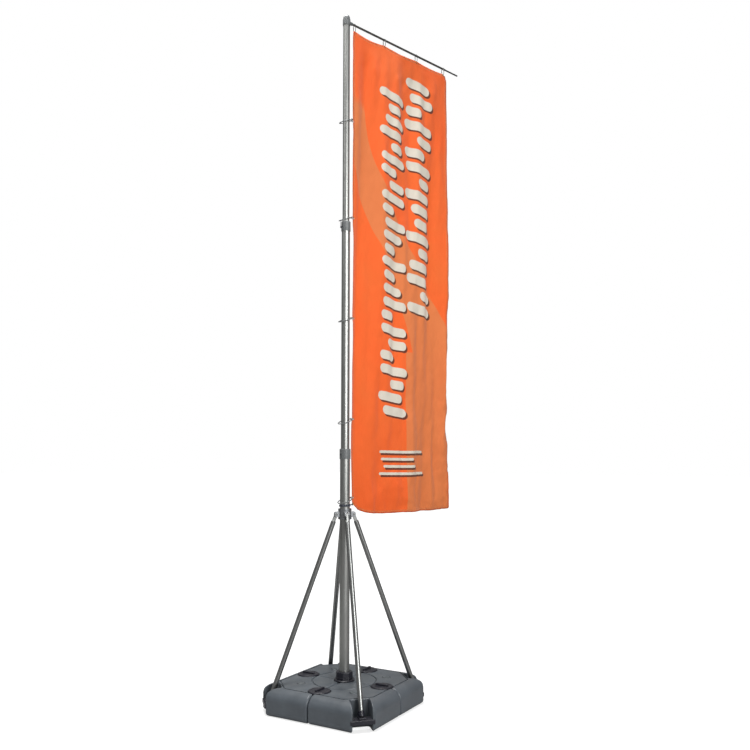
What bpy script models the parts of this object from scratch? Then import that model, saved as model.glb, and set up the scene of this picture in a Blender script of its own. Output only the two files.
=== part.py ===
"""Telescopic flagpole with a swivelling banner, braced on a base of four water tanks.

Metres, +Z up. The origin is on the mast's axis at floor level, and the sides of the
square base run along X and Y. The crossbar points HEAD_YAW away from +X.
"""

import math

import bmesh
import bpy
from mathutils import Matrix, Vector

# Overall sizes
TOTAL_HEIGHT = 5.0
BASE_SIDE = 0.89
BASE_HEIGHT = 0.175
CROSSBAR_REACH = 1.262
HEAD_YAW = math.radians(-16.0)

# Clearances
TOUCH_GAP = 0.0003      # between pieces that rest on or fit in each other
SEAM_GAP = 0.004        # between neighbouring tanks
RUN_GAP = 0.0005        # round a piece that turns
OVERCUT = 0.010         # how far a cutter passes through what it cuts
EMBED = 0.004           # how far one joined form sinks into another

# Tanks; distances are from the mast's axis, along a side's normal or a diagonal
BASE_HALF = BASE_SIDE / 2
BASE_CORNER = BASE_HALF * math.sqrt(2)
TANK_WALL = 0.004
SHOULDER_RADIUS = 0.075
HEEL_RADIUS = 0.015
NOTCH_WIDTH = 0.130
NOTCH_INNER = BASE_CORNER - 0.189
AIR_SPACE = 0.030       # between the water and the top of the tank
CAP_RADIUS = 0.026
NECK_RADIUS = CAP_RADIUS - 0.007
NECK_DISTANCE = BASE_CORNER - 0.329
CAP_HEIGHT = 0.010
CAP_CHAMFER = 0.003
CAP_RECESS = 0.008
PLUG_DEPTH = 0.014

# Links that clamp neighbouring tanks
LINK_RADIUS = 0.075
LINK_DISTANCE = BASE_HALF - 0.145
LINK_THICKNESS = 0.018
LINK_CHAMFER = 0.006
LINK_RECESS = 0.012
LINK_BOSS_RADIUS = 0.030
LINK_BOSS_DEPTH = 0.022
LINK_GRIP_LENGTH = 2 * LINK_RADIUS - 0.054
LINK_GRIP_WIDTH = 0.018
LINK_GRIP_HEIGHT = 0.012

# Mast tubes
LOWER_RADIUS = 0.035
TUBE_STEP = 0.005       # from one tube's radius to the next one's
MIDDLE_RADIUS = LOWER_RADIUS - TUBE_STEP
UPPER_RADIUS = MIDDLE_RADIUS - TUBE_STEP
TUBE_WALL = 0.002
LOWER_JOINT_Z = 0.3502 * TOTAL_HEIGHT   # top end of the lower tube
MIDDLE_JOINT_Z = 0.68 * TOTAL_HEIGHT    # top end of the middle tube
TUBE_OVERLAP = 0.150
COLLAR_WALL = 0.0037
COLLAR_SKIRT = 0.060    # length of a collar below the tube's end
COLLAR_LIP = 0.011      # length of a collar above the tube's end
COLLAR_CHAMFER = 0.003
BUSH_LENGTH = 0.050

# Mast socket
SOCKET_BODY_RADIUS = LOWER_RADIUS + 0.015
SOCKET_FLANGE_RADIUS = LOWER_RADIUS + 0.037
SOCKET_FLANGE_THICKNESS = 0.010
SOCKET_COLLAR_RADIUS = LOWER_RADIUS + 0.024
SOCKET_COLLAR_TOP = BASE_HEIGHT + 0.062
SOCKET_CHAMFER = 0.007
SOCKET_FLOOR = 0.020

# Lock buttons
BUTTON_RADIUS = 0.005
BUTTON_CHAMFER = 0.001
BUTTON_PROUD = 0.0022
BUTTON_DROP = 0.030     # from the tube's end down to the button's axis

# Struts and their hub
PIVOT_Z = 0.261 * TOTAL_HEIGHT
STRUT_RADIUS = 0.017
STRUT_WALL = 0.002
HUB_RADIUS = LOWER_RADIUS + 0.012
PIVOT_RADIUS = HUB_RADIUS + 0.016       # from the mast's axis to a strut's hinge pin
HUB_HEIGHT = 0.075
HUB_TOP_ABOVE_PIVOT = 0.040
LUG_WIDTH = 2 * STRUT_RADIUS
LUG_HEIGHT = 0.036
LUG_NOSE = 0.013        # metal beyond the hinge pin
LUG_ROOT = 0.012        # how far a lug reaches into the hub
TONGUE_THICKNESS = 0.014
TONGUE_HALF_WIDTH = 0.7 * STRUT_RADIUS
TONGUE_LENGTH = 0.052
PLUG_LENGTH = 0.012     # solid end of the tube behind the tongue
PIN_RADIUS = 0.004
PIN_HEAD_RADIUS = 0.0075
PIN_HEAD = 0.004

# Strut feet and the brackets that hold them
FOOT_DISTANCE = BASE_CORNER - 0.114     # where the strut's axis meets AXIS_FOOT_Z
AXIS_FOOT_Z = 0.069
BRACKET_TOP = 0.075
BRACKET_THICKNESS = 0.028
BRACKET_DEPTH = 0.075
BRACKET_INNER = FOOT_DISTANCE - BRACKET_DEPTH / 2
BRACKET_TAB = 0.015     # length of each end inside a tank
FOOT_SLEEVE_RADIUS = STRUT_RADIUS + 0.004
FOOT_PAD = (0.058, 0.044, 0.010)
FOOT_SLEEVE_LENGTH = 0.034
FOOT_PLUG_LENGTH = 0.040

# Head
CAP_BASE_Z = TOTAL_HEIGHT - 0.040
CAP_DOME_RADIUS = UPPER_RADIUS + 0.001
CAP_SPIGOT = 0.030
SWIVEL_RADIUS = UPPER_RADIUS + 0.0035
SWIVEL_HEIGHT = 0.038
STOP_HEIGHT = 0.008
CROSSBAR_Z = TOTAL_HEIGHT - 0.055
CROSSBAR_RADIUS = 0.008
CROSSBAR_WALL = 0.0015
CROSSBAR_START = SWIVEL_RADIUS + 0.0055
CROSSBAR_TUBE_END = CROSSBAR_REACH - 0.157
END_ROD_START = CROSSBAR_TUBE_END - 0.075
SWIVEL_BOSS_RADIUS = CROSSBAR_RADIUS + 0.004
SWIVEL_BOSS_END = CROSSBAR_START + 0.024

# Rings round the mast
RING_INNER = LOWER_RADIUS + 0.013
RING_WIRE = 0.0035
RING_TILT = math.radians(22.0)

# Banner; its hooks are placed along it and its rings up it, as shares of its size
BANNER_INNER = RING_INNER + 0.014
BANNER_OUTER = CROSSBAR_REACH - 0.142
BANNER_WIDTH = BANNER_OUTER - BANNER_INNER
BANNER_TOP = CROSSBAR_Z - 0.065
BANNER_BOTTOM = PIVOT_Z - 0.030
BANNER_HEIGHT = BANNER_TOP - BANNER_BOTTOM
BANNER_THICKNESS = 0.004
BANNER_TUCK = (0.170, 0.070)    # reach and rise of the gathered lower corner
HOOK_SHARES = (0.017, 0.313, 0.653, 0.959)
HOOK_WIRE = 0.0022
HOOK_HALF_WIDTH = CROSSBAR_RADIUS + 0.0035
HOOK_DROP = 0.050
RING_SHARES = (0.8036, 0.5986, 0.392, 0.1892)
LAST_RING_ABOVE_PIVOT = 0.095

# Cord that ties the banner's lower corner to the mast
CORD_RADIUS = 0.003
CORD_TURNS = 3
CORD_ABOVE_HUB = 0.012

# Facets of round pieces and rounded edges
ROUND = 24
SMALL_ROUND = 12
STRUT_ROUND = 16
BAR_ROUND = 16
SHOULDER_STEPS = 4
HEEL_STEPS = 2
CORD_STEPS = 4


# ------------------------------------------------------------------ scene helpers

def clear_scene():
    """Removes every object of the open file."""
    for obj in list(bpy.data.objects):
        bpy.data.objects.remove(obj)


def new_collection(name):
    """Makes a collection in the scene."""
    collection = bpy.data.collections.new(name)
    bpy.context.scene.collection.children.link(collection)
    return collection


def new_material(name, colour, roughness, metallic=0.0):
    """Makes a plain Principled material."""
    material = bpy.data.materials.new(name)
    material.use_nodes = True
    shader = material.node_tree.nodes["Principled BSDF"]
    shader.inputs["Base Color"].default_value = (*colour, 1.0)
    shader.inputs["Roughness"].default_value = roughness
    shader.inputs["Metallic"].default_value = metallic
    return material


def link_new(name, mesh):
    """Makes an object in the parts collection."""
    obj = bpy.data.objects.new(name, mesh)
    PARTS.objects.link(obj)
    return obj


def from_bmesh(name, bm):
    """Turns a bmesh into an object."""
    mesh = bpy.data.meshes.new(name)
    bm.to_mesh(mesh)
    bm.free()
    return link_new(name, mesh)


def box(name, low, high):
    """A box between two corners."""
    low = Vector(low)
    high = Vector(high)
    bm = bmesh.new()
    bmesh.ops.create_cube(bm, size=1.0)
    bmesh.ops.scale(bm, vec=high - low, verts=bm.verts)
    bmesh.ops.translate(bm, vec=(low + high) / 2, verts=bm.verts)
    return from_bmesh(name, bm)


def rod(name, radius, low, high, segments=ROUND):
    """An upright cylinder on the Z axis, from low to high."""
    bm = bmesh.new()
    bmesh.ops.create_cone(bm, cap_ends=True, segments=segments,
                          radius1=radius, radius2=radius, depth=high - low)
    bmesh.ops.translate(bm, vec=(0, 0, (low + high) / 2), verts=bm.verts)
    return from_bmesh(name, bm)


def turned(name, outline, segments=ROUND, closed=True):
    """Turns an outline of (radius, height) points, outer side running down, about Z."""
    bm = bmesh.new()
    verts = [bm.verts.new((radius, 0, height)) for radius, height in outline]
    pairs = list(zip(verts, verts[1:]))
    if closed:
        pairs.append((verts[-1], verts[0]))
    for first, second in pairs:
        bm.edges.new((first, second))
    obj = from_bmesh(name, bm)
    screw = obj.modifiers.new("turn", "SCREW")
    screw.steps = segments
    screw.render_steps = segments
    screw.use_merge_vertices = True
    screw.merge_threshold = 0.00001
    return bake(obj)


def tube(name, outer, inner, low, high, segments=ROUND):
    """An upright tube on the Z axis."""
    return turned(name, [(outer, high), (outer, low), (inner, low), (inner, high)], segments)


def bake(obj):
    """Writes an object's modifiers into its mesh."""
    graph = bpy.context.evaluated_depsgraph_get()
    mesh = bpy.data.meshes.new_from_object(obj.evaluated_get(graph))
    obj.modifiers.clear()
    obj.data = mesh
    return obj


def combine(base, others, operation):
    """Joins the others to the base object, or cuts them from it, and removes them."""
    for other in others:
        boolean = base.modifiers.new(operation.lower(), "BOOLEAN")
        boolean.operation = operation
        boolean.object = other
    bake(base)
    for other in others:
        bpy.data.objects.remove(other)
    return base


def cut(base, *cutters):
    """Cuts the cutters from the base object."""
    return combine(base, cutters, "DIFFERENCE")


def join(base, *others):
    """Joins the others to the base object."""
    return combine(base, others, "UNION")


def shaped(obj, matrix):
    """Moves or turns an object's mesh about the object's origin."""
    obj.data.transform(matrix)
    return obj


def along_x():
    """Turns the Z axis onto the X axis."""
    return Matrix.Rotation(math.radians(90), 4, "Y")


def turn_z(angle):
    """A turn about the mast's axis."""
    return Matrix.Rotation(angle, 4, "Z")


def finish(obj, name, material, parent=None, location=(0, 0, 0), angle=0.0):
    """Names, dresses and places a piece."""
    obj.name = name
    obj.data.materials.clear()
    obj.data.materials.append(material)
    obj.data.shade_smooth()
    obj.data.set_sharp_from_angle(angle=math.radians(35))
    obj.parent = parent
    obj.location = location
    obj.rotation_euler.z = angle
    return obj


def copies(first, names, material, places):
    """Places one mesh as several objects; places holds (location, angle, parent)."""
    pieces = [first] + [link_new(name, first.data) for name in names[1:]]
    for piece, name, (location, angle, parent) in zip(pieces, names, places):
        finish(piece, name, material, parent, location, angle)
    return pieces


def pivot(name, location, parent=None, angle=0.0):
    """An empty on a joint's axis."""
    empty = bpy.data.objects.new(name, None)
    PARTS.objects.link(empty)
    empty.location = location
    empty.rotation_euler.z = angle
    empty.parent = parent
    return empty


# ------------------------------------------------------------------ base

CORNERS = ("back", "left", "front", "right")


def corner_angle(index):
    """Direction of a corner of the base, from +X."""
    return math.radians(45 + 90 * index)


def side_angle(index):
    """Direction of the middle of a side of the base, from +X."""
    return math.radians(90 * index)


def polar(distance, angle, height=0.0):
    """A point at a distance from the mast's axis."""
    return Vector((distance * math.cos(angle), distance * math.sin(angle), height))


def round_outer_edges(bm, far, height, radius, segments):
    """Rounds the two outer edges of a quarter block that lie at a height."""
    tiny = 1e-6

    def on_side(edge, axis):
        return all(vert.co[axis] > far - tiny and abs(vert.co.z - height) < tiny
                   for vert in edge.verts)

    edges = [edge for edge in bm.edges if on_side(edge, 0) or on_side(edge, 1)]
    bmesh.ops.bevel(bm, geom=edges, offset=radius, segments=segments,
                    profile=0.5, affect="EDGES", clamp_overlap=True, material=-1)


def quarter_block(name, inset):
    """The outer form of the tank in the +X +Y quarter, drawn in by inset all round."""
    near = SEAM_GAP / 2 + inset
    far = BASE_SIDE / 2 - inset
    low = inset
    high = BASE_HEIGHT - inset
    middle = (near + far) / 2
    bm = bmesh.new()
    bmesh.ops.create_cube(bm, size=1.0)
    bmesh.ops.scale(bm, vec=(far - near, far - near, high - low), verts=bm.verts)
    bmesh.ops.translate(bm, vec=(middle, middle, (low + high) / 2), verts=bm.verts)
    round_outer_edges(bm, far, high, SHOULDER_RADIUS - inset, SHOULDER_STEPS)
    round_outer_edges(bm, far, low, HEEL_RADIUS - inset, HEEL_STEPS)
    return from_bmesh(name, bm)


def notch_box(name, inner, outer, width, low, high):
    """A box across the diagonal of the +X +Y quarter."""
    block = box(name, (inner, -width / 2, low), (outer, width / 2, high))
    return shaped(block, turn_z(corner_angle(0)))


def tank_cutters(grow):
    """What is taken out of a quarter: notch, bracket slot, and the recesses on top."""
    top = BASE_HEIGHT + OVERCUT
    slot = TOUCH_GAP + grow
    bracket_low = BRACKET_TOP - BRACKET_THICKNESS
    cutters = [
        notch_box("notch", NOTCH_INNER - grow, BASE_SIDE, NOTCH_WIDTH + 2 * grow, -OVERCUT, top),
        notch_box("slot", BRACKET_INNER - slot, BRACKET_INNER + BRACKET_DEPTH + slot,
                  NOTCH_WIDTH + 2 * (BRACKET_TAB + slot), bracket_low - slot, BRACKET_TOP + slot),
        rod("socket_hole", SOCKET_BODY_RADIUS + TOUCH_GAP + grow, -OVERCUT, top),
    ]
    recess_floor = BASE_HEIGHT - LINK_RECESS - grow
    boss_floor = BASE_HEIGHT - LINK_RECESS - LINK_BOSS_DEPTH - TOUCH_GAP - grow
    for index in (0, 1):
        place = Matrix.Translation(polar(LINK_DISTANCE, side_angle(index)))
        recess = rod("recess", LINK_RADIUS + RUN_GAP + grow, recess_floor, top)
        pocket = rod("pocket", LINK_BOSS_RADIUS + RUN_GAP + grow, boss_floor, top)
        cutters += [shaped(recess, place), shaped(pocket, place)]
    cap_recess = rod("cap_recess", CAP_RADIUS + RUN_GAP + grow,
                     BASE_HEIGHT - CAP_RECESS - grow, top)
    place = Matrix.Translation(polar(NECK_DISTANCE, corner_angle(0)))
    cutters.append(shaped(cap_recess, place))
    return cutters


def make_tanks(shell_material, water_material):
    """Four hollow tanks and the water in them."""
    hollow = cut(quarter_block("hollow", TANK_WALL), *tank_cutters(TANK_WALL))
    neck = rod("neck", NECK_RADIUS + RUN_GAP, BASE_HEIGHT - CAP_RECESS - 2 * TANK_WALL,
               BASE_HEIGHT + OVERCUT)
    shaped(neck, Matrix.Translation(polar(NECK_DISTANCE, corner_angle(0))))
    shell = cut(quarter_block("shell", 0.0), *tank_cutters(0.0))
    cut(shell, hollow)
    cut(shell, neck)
    places = [((0, 0, 0), side_angle(index), None) for index in range(4)]
    copies(shell, ["tank_" + corner for corner in CORNERS], shell_material, places)

    lining = TANK_WALL + TOUCH_GAP
    air = box("air", (-BASE_SIDE, -BASE_SIDE, BASE_HEIGHT - AIR_SPACE),
              (BASE_SIDE, BASE_SIDE, 2 * BASE_HEIGHT))
    water = cut(quarter_block("water", lining), *tank_cutters(lining))
    cut(water, air)
    copies(water, ["water_" + corner for corner in CORNERS], water_material, places)


def make_filler_caps(material):
    """Four screw caps in the tanks' filler necks."""
    seat = BASE_HEIGHT - CAP_RECESS + TOUCH_GAP
    top = seat + CAP_HEIGHT
    outline = [(0, top), (CAP_RADIUS - CAP_CHAMFER, top), (CAP_RADIUS, top - CAP_CHAMFER),
               (CAP_RADIUS, seat), (NECK_RADIUS, seat), (NECK_RADIUS, seat - PLUG_DEPTH),
               (0, seat - PLUG_DEPTH)]
    cap = turned("cap", outline, SMALL_ROUND, closed=False)
    places = [(polar(NECK_DISTANCE, corner_angle(index)), 0.0, None) for index in range(4)]
    copies(cap, ["filler_cap_" + corner for corner in CORNERS], material, places)


def make_links(material):
    """Four round links that turn to clamp neighbouring tanks."""
    seat = BASE_HEIGHT - LINK_RECESS + TOUCH_GAP
    top = seat + LINK_THICKNESS
    outline = [(0, top), (LINK_RADIUS - LINK_CHAMFER, top), (LINK_RADIUS, top - LINK_CHAMFER),
               (LINK_RADIUS, seat), (LINK_BOSS_RADIUS, seat),
               (LINK_BOSS_RADIUS, seat - LINK_BOSS_DEPTH), (0, seat - LINK_BOSS_DEPTH)]
    link = turned("link", outline, closed=False)
    half = Vector((LINK_GRIP_LENGTH, LINK_GRIP_WIDTH, 0)) / 2
    grip = box("grip", (-half.x, -half.y, top - EMBED), (half.x, half.y, top + LINK_GRIP_HEIGHT))
    join(link, grip)
    names = ["link_" + side for side in ("rear_right", "rear_left", "front_left", "front_right")]
    places = [(polar(LINK_DISTANCE, side_angle(index)), side_angle(index), None)
              for index in range(4)]
    copies(link, names, material, places)


def make_socket(material):
    """The cup that holds the foot of the mast, with a flange over the tanks."""
    bore = LOWER_RADIUS + TOUCH_GAP
    seat = BASE_HEIGHT + TOUCH_GAP
    flange_top = seat + SOCKET_FLANGE_THICKNESS
    outline = [(bore, SOCKET_COLLAR_TOP),
               (SOCKET_COLLAR_RADIUS - SOCKET_CHAMFER, SOCKET_COLLAR_TOP),
               (SOCKET_COLLAR_RADIUS, SOCKET_COLLAR_TOP - SOCKET_CHAMFER),
               (SOCKET_COLLAR_RADIUS, flange_top), (SOCKET_FLANGE_RADIUS, flange_top),
               (SOCKET_FLANGE_RADIUS, seat), (SOCKET_BODY_RADIUS, seat),
               (SOCKET_BODY_RADIUS, 0), (0, 0), (0, SOCKET_FLOOR), (bore, SOCKET_FLOOR)]
    socket = turned("socket", outline)
    finish(socket, "mast_socket", material)


def make_brackets(material):
    """Four bars across the corner notches, with their ends in the tanks' slots."""
    half = NOTCH_WIDTH / 2 + BRACKET_TAB
    bracket = box("bracket", (BRACKET_INNER, -half, BRACKET_TOP - BRACKET_THICKNESS),
                  (BRACKET_INNER + BRACKET_DEPTH, half, BRACKET_TOP))
    places = [((0, 0, 0), corner_angle(index), None) for index in range(4)]
    copies(bracket, ["strut_bracket_" + corner for corner in CORNERS], material, places)


# ------------------------------------------------------------------ mast

def make_tube(name, radius, low, high, material, parent=None):
    """One tube of the mast."""
    piece = tube(name, radius, radius - TUBE_WALL, low, high)
    return finish(piece, name, material, parent)


def make_collar(name, radius, inner_radius, end, material, parent=None):
    """A collar on a tube's top end, whose lip guides the next tube."""
    outer = radius + COLLAR_WALL + TOUCH_GAP
    skirt = radius + TOUCH_GAP
    lip = inner_radius + TOUCH_GAP
    top = end + TOUCH_GAP + COLLAR_LIP
    outline = [(lip, top), (outer - COLLAR_CHAMFER, top), (outer, top - COLLAR_CHAMFER),
               (outer, end - COLLAR_SKIRT), (skirt, end - COLLAR_SKIRT),
               (skirt, end + TOUCH_GAP), (lip, end + TOUCH_GAP)]
    collar = turned(name, outline)
    return finish(collar, name, material, parent)


def make_bush(name, radius, outer_tube_radius, low, material, parent=None):
    """A guide bush round the lower end of a sliding tube."""
    outer = outer_tube_radius - TUBE_WALL - TOUCH_GAP
    piece = tube(name, outer, radius + TOUCH_GAP, low, low + BUSH_LENGTH)
    return finish(piece, name, material, parent)


def button_bore(radius, end):
    """The hole for a lock button, along the head's -X direction."""
    bore = rod("bore", BUTTON_RADIUS + TOUCH_GAP, radius - 2 * TUBE_WALL, radius + OVERCUT,
               SMALL_ROUND)
    shaped(bore, along_x())
    shaped(bore, Matrix.Translation((0, 0, end - BUTTON_DROP)))
    return shaped(bore, turn_z(HEAD_YAW + math.pi))


def make_button(name, radius, end, material, parent=None):
    """A spring lock button in a collar."""
    inner = radius - TUBE_WALL + TOUCH_GAP
    outer = radius + TOUCH_GAP + COLLAR_WALL + BUTTON_PROUD
    outline = [(0, outer), (BUTTON_RADIUS - BUTTON_CHAMFER, outer),
               (BUTTON_RADIUS, outer - BUTTON_CHAMFER),
               (BUTTON_RADIUS, inner), (0, inner)]
    button = turned(name, outline, SMALL_ROUND, closed=False)
    shaped(button, along_x())
    return finish(button, name, material, parent, (0, 0, end - BUTTON_DROP),
                  HEAD_YAW + math.pi)


def make_mast(aluminium, grey_plastic, black_plastic):
    """Three telescoping tubes with their collars, guide bushes and lock buttons."""
    lower = make_tube("lower_tube", LOWER_RADIUS, SOCKET_FLOOR + TOUCH_GAP, LOWER_JOINT_Z,
                      aluminium)
    lower_collar = make_collar("lower_collar", LOWER_RADIUS, MIDDLE_RADIUS, LOWER_JOINT_Z,
                               grey_plastic)
    middle = make_tube("middle_tube", MIDDLE_RADIUS, LOWER_JOINT_Z - TUBE_OVERLAP,
                       MIDDLE_JOINT_Z, aluminium)
    middle_collar = make_collar("middle_collar", MIDDLE_RADIUS, UPPER_RADIUS, MIDDLE_JOINT_Z,
                                grey_plastic)
    make_tube("upper_tube", UPPER_RADIUS, MIDDLE_JOINT_Z - TUBE_OVERLAP,
              CAP_BASE_Z - TOUCH_GAP, aluminium)
    for pieces, radius, end in (((lower, lower_collar), LOWER_RADIUS, LOWER_JOINT_Z),
                                ((middle, middle_collar), MIDDLE_RADIUS, MIDDLE_JOINT_Z)):
        for piece in pieces:
            cut(piece, button_bore(radius, end))
    make_bush("middle_bush", MIDDLE_RADIUS, LOWER_RADIUS, LOWER_JOINT_Z - TUBE_OVERLAP,
              black_plastic)
    make_bush("upper_bush", UPPER_RADIUS, MIDDLE_RADIUS, MIDDLE_JOINT_Z - TUBE_OVERLAP,
              black_plastic)
    make_button("lower_lock_button", LOWER_RADIUS, LOWER_JOINT_Z, black_plastic)
    make_button("middle_lock_button", MIDDLE_RADIUS, MIDDLE_JOINT_Z, black_plastic)


# ------------------------------------------------------------------ struts

def make_hub(material):
    """Cast ring with four forked lugs for the struts."""
    top = PIVOT_Z + HUB_TOP_ABOVE_PIVOT
    hub = rod("hub", HUB_RADIUS, top - HUB_HEIGHT, top)
    reach = PIVOT_RADIUS + LUG_NOSE
    slot_half = TONGUE_THICKNESS / 2 + RUN_GAP
    low = PIVOT_Z - LUG_HEIGHT / 2
    high = PIVOT_Z + LUG_HEIGHT / 2
    lugs = []
    gaps = []
    for index in range(4):
        turn = turn_z(corner_angle(index))
        lug = box("lug", (HUB_RADIUS - LUG_ROOT, -LUG_WIDTH / 2, low),
                  (reach, LUG_WIDTH / 2, high))
        gap = box("gap", (HUB_RADIUS + RUN_GAP, -slot_half, low - OVERCUT),
                  (reach + OVERCUT, slot_half, high + OVERCUT))
        pin_hole = rod("pin_hole", PIN_RADIUS + TOUCH_GAP, -LUG_WIDTH, LUG_WIDTH, SMALL_ROUND)
        shaped(pin_hole, Matrix.Rotation(math.radians(90), 4, "X"))
        shaped(pin_hole, Matrix.Translation((PIVOT_RADIUS, 0, PIVOT_Z)))
        lugs.append(shaped(lug, turn))
        gaps += [shaped(gap, turn), shaped(pin_hole, turn)]
    join(hub, *lugs)
    bore = rod("bore", LOWER_RADIUS + TOUCH_GAP, low - HUB_HEIGHT, high + HUB_HEIGHT)
    cut(hub, bore, *gaps)
    finish(hub, "strut_hub", material)


def strut_tilt():
    """Angle of a strut from the vertical."""
    return math.atan2(FOOT_DISTANCE - PIVOT_RADIUS, PIVOT_Z - AXIS_FOOT_Z)


def along_strut():
    """Turns the -Z axis onto a strut, outwards and down in the XZ plane."""
    return Matrix.Rotation(-strut_tilt(), 4, "Y")


def strut_tube_end():
    """Distance from the hinge pin to the tube's lower end, where the foot's sleeve starts."""
    seat = PIVOT_Z - BRACKET_TOP - TOUCH_GAP
    rise = FOOT_PAD[2] + FOOT_SLEEVE_LENGTH
    return (seat - rise) / math.cos(strut_tilt())


def make_strut_tube():
    """A strut with its flattened, drilled top end; the hinge pin is at the origin."""
    end = strut_tube_end()
    body = tube("strut", STRUT_RADIUS, STRUT_RADIUS - STRUT_WALL, -end, -TONGUE_LENGTH,
                STRUT_ROUND)
    plug = rod("plug", STRUT_RADIUS - STRUT_WALL / 2, -TONGUE_LENGTH - PLUG_LENGTH,
               -TONGUE_LENGTH + EMBED, STRUT_ROUND)
    half = TONGUE_THICKNESS / 2
    tongue = box("tongue", (-TONGUE_HALF_WIDTH, -half, -TONGUE_LENGTH - 2 * EMBED),
                 (TONGUE_HALF_WIDTH, half, 0))
    nose = rod("nose", TONGUE_HALF_WIDTH, -half, half, STRUT_ROUND)
    eye = rod("eye", PIN_RADIUS + TOUCH_GAP, -half - OVERCUT, half + OVERCUT, SMALL_ROUND)
    upright = Matrix.Rotation(math.radians(90), 4, "X")
    join(body, plug, tongue, shaped(nose, upright))
    cut(body, shaped(eye, upright))
    return shaped(body, along_strut())


def make_foot():
    """A strut's foot: flat pad, sleeve below the tube, and a plug inside the tube."""
    seat = -(PIVOT_Z - BRACKET_TOP - TOUCH_GAP)
    tilt = math.tan(strut_tilt())
    end = strut_tube_end() + TOUCH_GAP
    pad_x = -seat * tilt
    pad = box("pad", (pad_x - FOOT_PAD[0] / 2, -FOOT_PAD[1] / 2, seat),
              (pad_x + FOOT_PAD[0] / 2, FOOT_PAD[1] / 2, seat + FOOT_PAD[2]))
    sleeve_length = FOOT_SLEEVE_LENGTH / math.cos(strut_tilt()) + EMBED / 2
    sleeve = rod("sleeve", FOOT_SLEEVE_RADIUS, -end - sleeve_length, -end, STRUT_ROUND)
    plug = rod("plug", STRUT_RADIUS - STRUT_WALL - TOUCH_GAP, -end - OVERCUT,
               -end + FOOT_PLUG_LENGTH, STRUT_ROUND)
    reach = 2 * FOOT_PAD[0]
    trim = box("trim", (pad_x - reach, -reach, seat - reach), (pad_x + reach, reach, seat))
    join(pad, shaped(sleeve, along_strut()), shaped(plug, along_strut()))
    return cut(pad, trim)


def make_hinge_pin():
    """A headed hinge pin along Y."""
    half = LUG_WIDTH / 2 + TOUCH_GAP
    outline = [(0, half + PIN_HEAD), (PIN_HEAD_RADIUS, half + PIN_HEAD),
               (PIN_HEAD_RADIUS, half), (PIN_RADIUS, half), (PIN_RADIUS, -half),
               (PIN_HEAD_RADIUS, -half), (PIN_HEAD_RADIUS, -half - PIN_HEAD),
               (0, -half - PIN_HEAD)]
    pin = turned("pin", outline, SMALL_ROUND, closed=False)
    return shaped(pin, Matrix.Rotation(math.radians(90), 4, "X"))


def make_struts(aluminium, steel, black_plastic):
    """Four struts, each on a pivot empty at its hinge pin."""
    pivots = [pivot("strut_pivot_" + corner, polar(PIVOT_RADIUS, corner_angle(index), PIVOT_Z),
                    None, corner_angle(index)) for index, corner in enumerate(CORNERS)]
    places = [((0, 0, 0), 0.0, empty) for empty in pivots]
    for base, label, material in ((make_strut_tube(), "strut_", aluminium),
                                  (make_foot(), "strut_foot_", black_plastic),
                                  (make_hinge_pin(), "strut_pin_", steel)):
        copies(base, [label + corner for corner in CORNERS], material, places)


# ------------------------------------------------------------------ head

def make_mast_cap(material):
    """Domed cap with a spigot in the top of the upper tube."""
    top = TOTAL_HEIGHT
    shoulder = top - CAP_DOME_RADIUS
    steps = 5
    dome = [(CAP_DOME_RADIUS * math.sin(math.pi / 2 * step / steps),
             shoulder + CAP_DOME_RADIUS * math.cos(math.pi / 2 * step / steps))
            for step in range(steps + 1)]
    spigot = UPPER_RADIUS - TUBE_WALL - TOUCH_GAP
    outline = dome + [(CAP_DOME_RADIUS, CAP_BASE_Z), (spigot, CAP_BASE_Z),
                      (spigot, CAP_BASE_Z - CAP_SPIGOT), (0, CAP_BASE_Z - CAP_SPIGOT)]
    cap = turned("mast_cap", outline, closed=False)
    finish(cap, "mast_cap", material)


def make_swivel(material, head):
    """Collar that turns on the mast's top, with a boss for the crossbar."""
    high = CAP_BASE_Z - RUN_GAP
    low = high - SWIVEL_HEIGHT
    bore = UPPER_RADIUS + RUN_GAP
    collar = rod("collar", SWIVEL_RADIUS, low, high)
    boss = rod("boss", SWIVEL_BOSS_RADIUS, bore + RUN_GAP, SWIVEL_BOSS_END, BAR_ROUND)
    shaped(boss, along_x())
    shaped(boss, Matrix.Translation((0, 0, CROSSBAR_Z)))
    socket = rod("socket", CROSSBAR_RADIUS + TOUCH_GAP, CROSSBAR_START - TOUCH_GAP,
                 SWIVEL_BOSS_END + OVERCUT, BAR_ROUND)
    shaped(socket, along_x())
    shaped(socket, Matrix.Translation((0, 0, CROSSBAR_Z)))
    join(collar, boss)
    cut(collar, rod("bore", bore, low - OVERCUT, high + OVERCUT), socket)
    finish(collar, "swivel_collar", material, head)
    stop_high = low - RUN_GAP
    stop = tube("stop", SWIVEL_RADIUS, UPPER_RADIUS + TOUCH_GAP, stop_high - STOP_HEIGHT, stop_high)
    finish(stop, "swivel_stop", material)


def make_crossbar(aluminium, steel, head):
    """The crossbar tube and the thinner rod in its outer end."""
    bar = tube("bar", CROSSBAR_RADIUS, CROSSBAR_RADIUS - CROSSBAR_WALL, CROSSBAR_START,
               CROSSBAR_TUBE_END, BAR_ROUND)
    finish(shaped(bar, along_x()), "crossbar_tube", aluminium, head, (0, 0, CROSSBAR_Z))
    end = rod("end", CROSSBAR_RADIUS - CROSSBAR_WALL - TOUCH_GAP, END_ROD_START, CROSSBAR_REACH,
              BAR_ROUND)
    finish(shaped(end, along_x()), "crossbar_end_rod", steel, head, (0, 0, CROSSBAR_Z))


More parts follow.
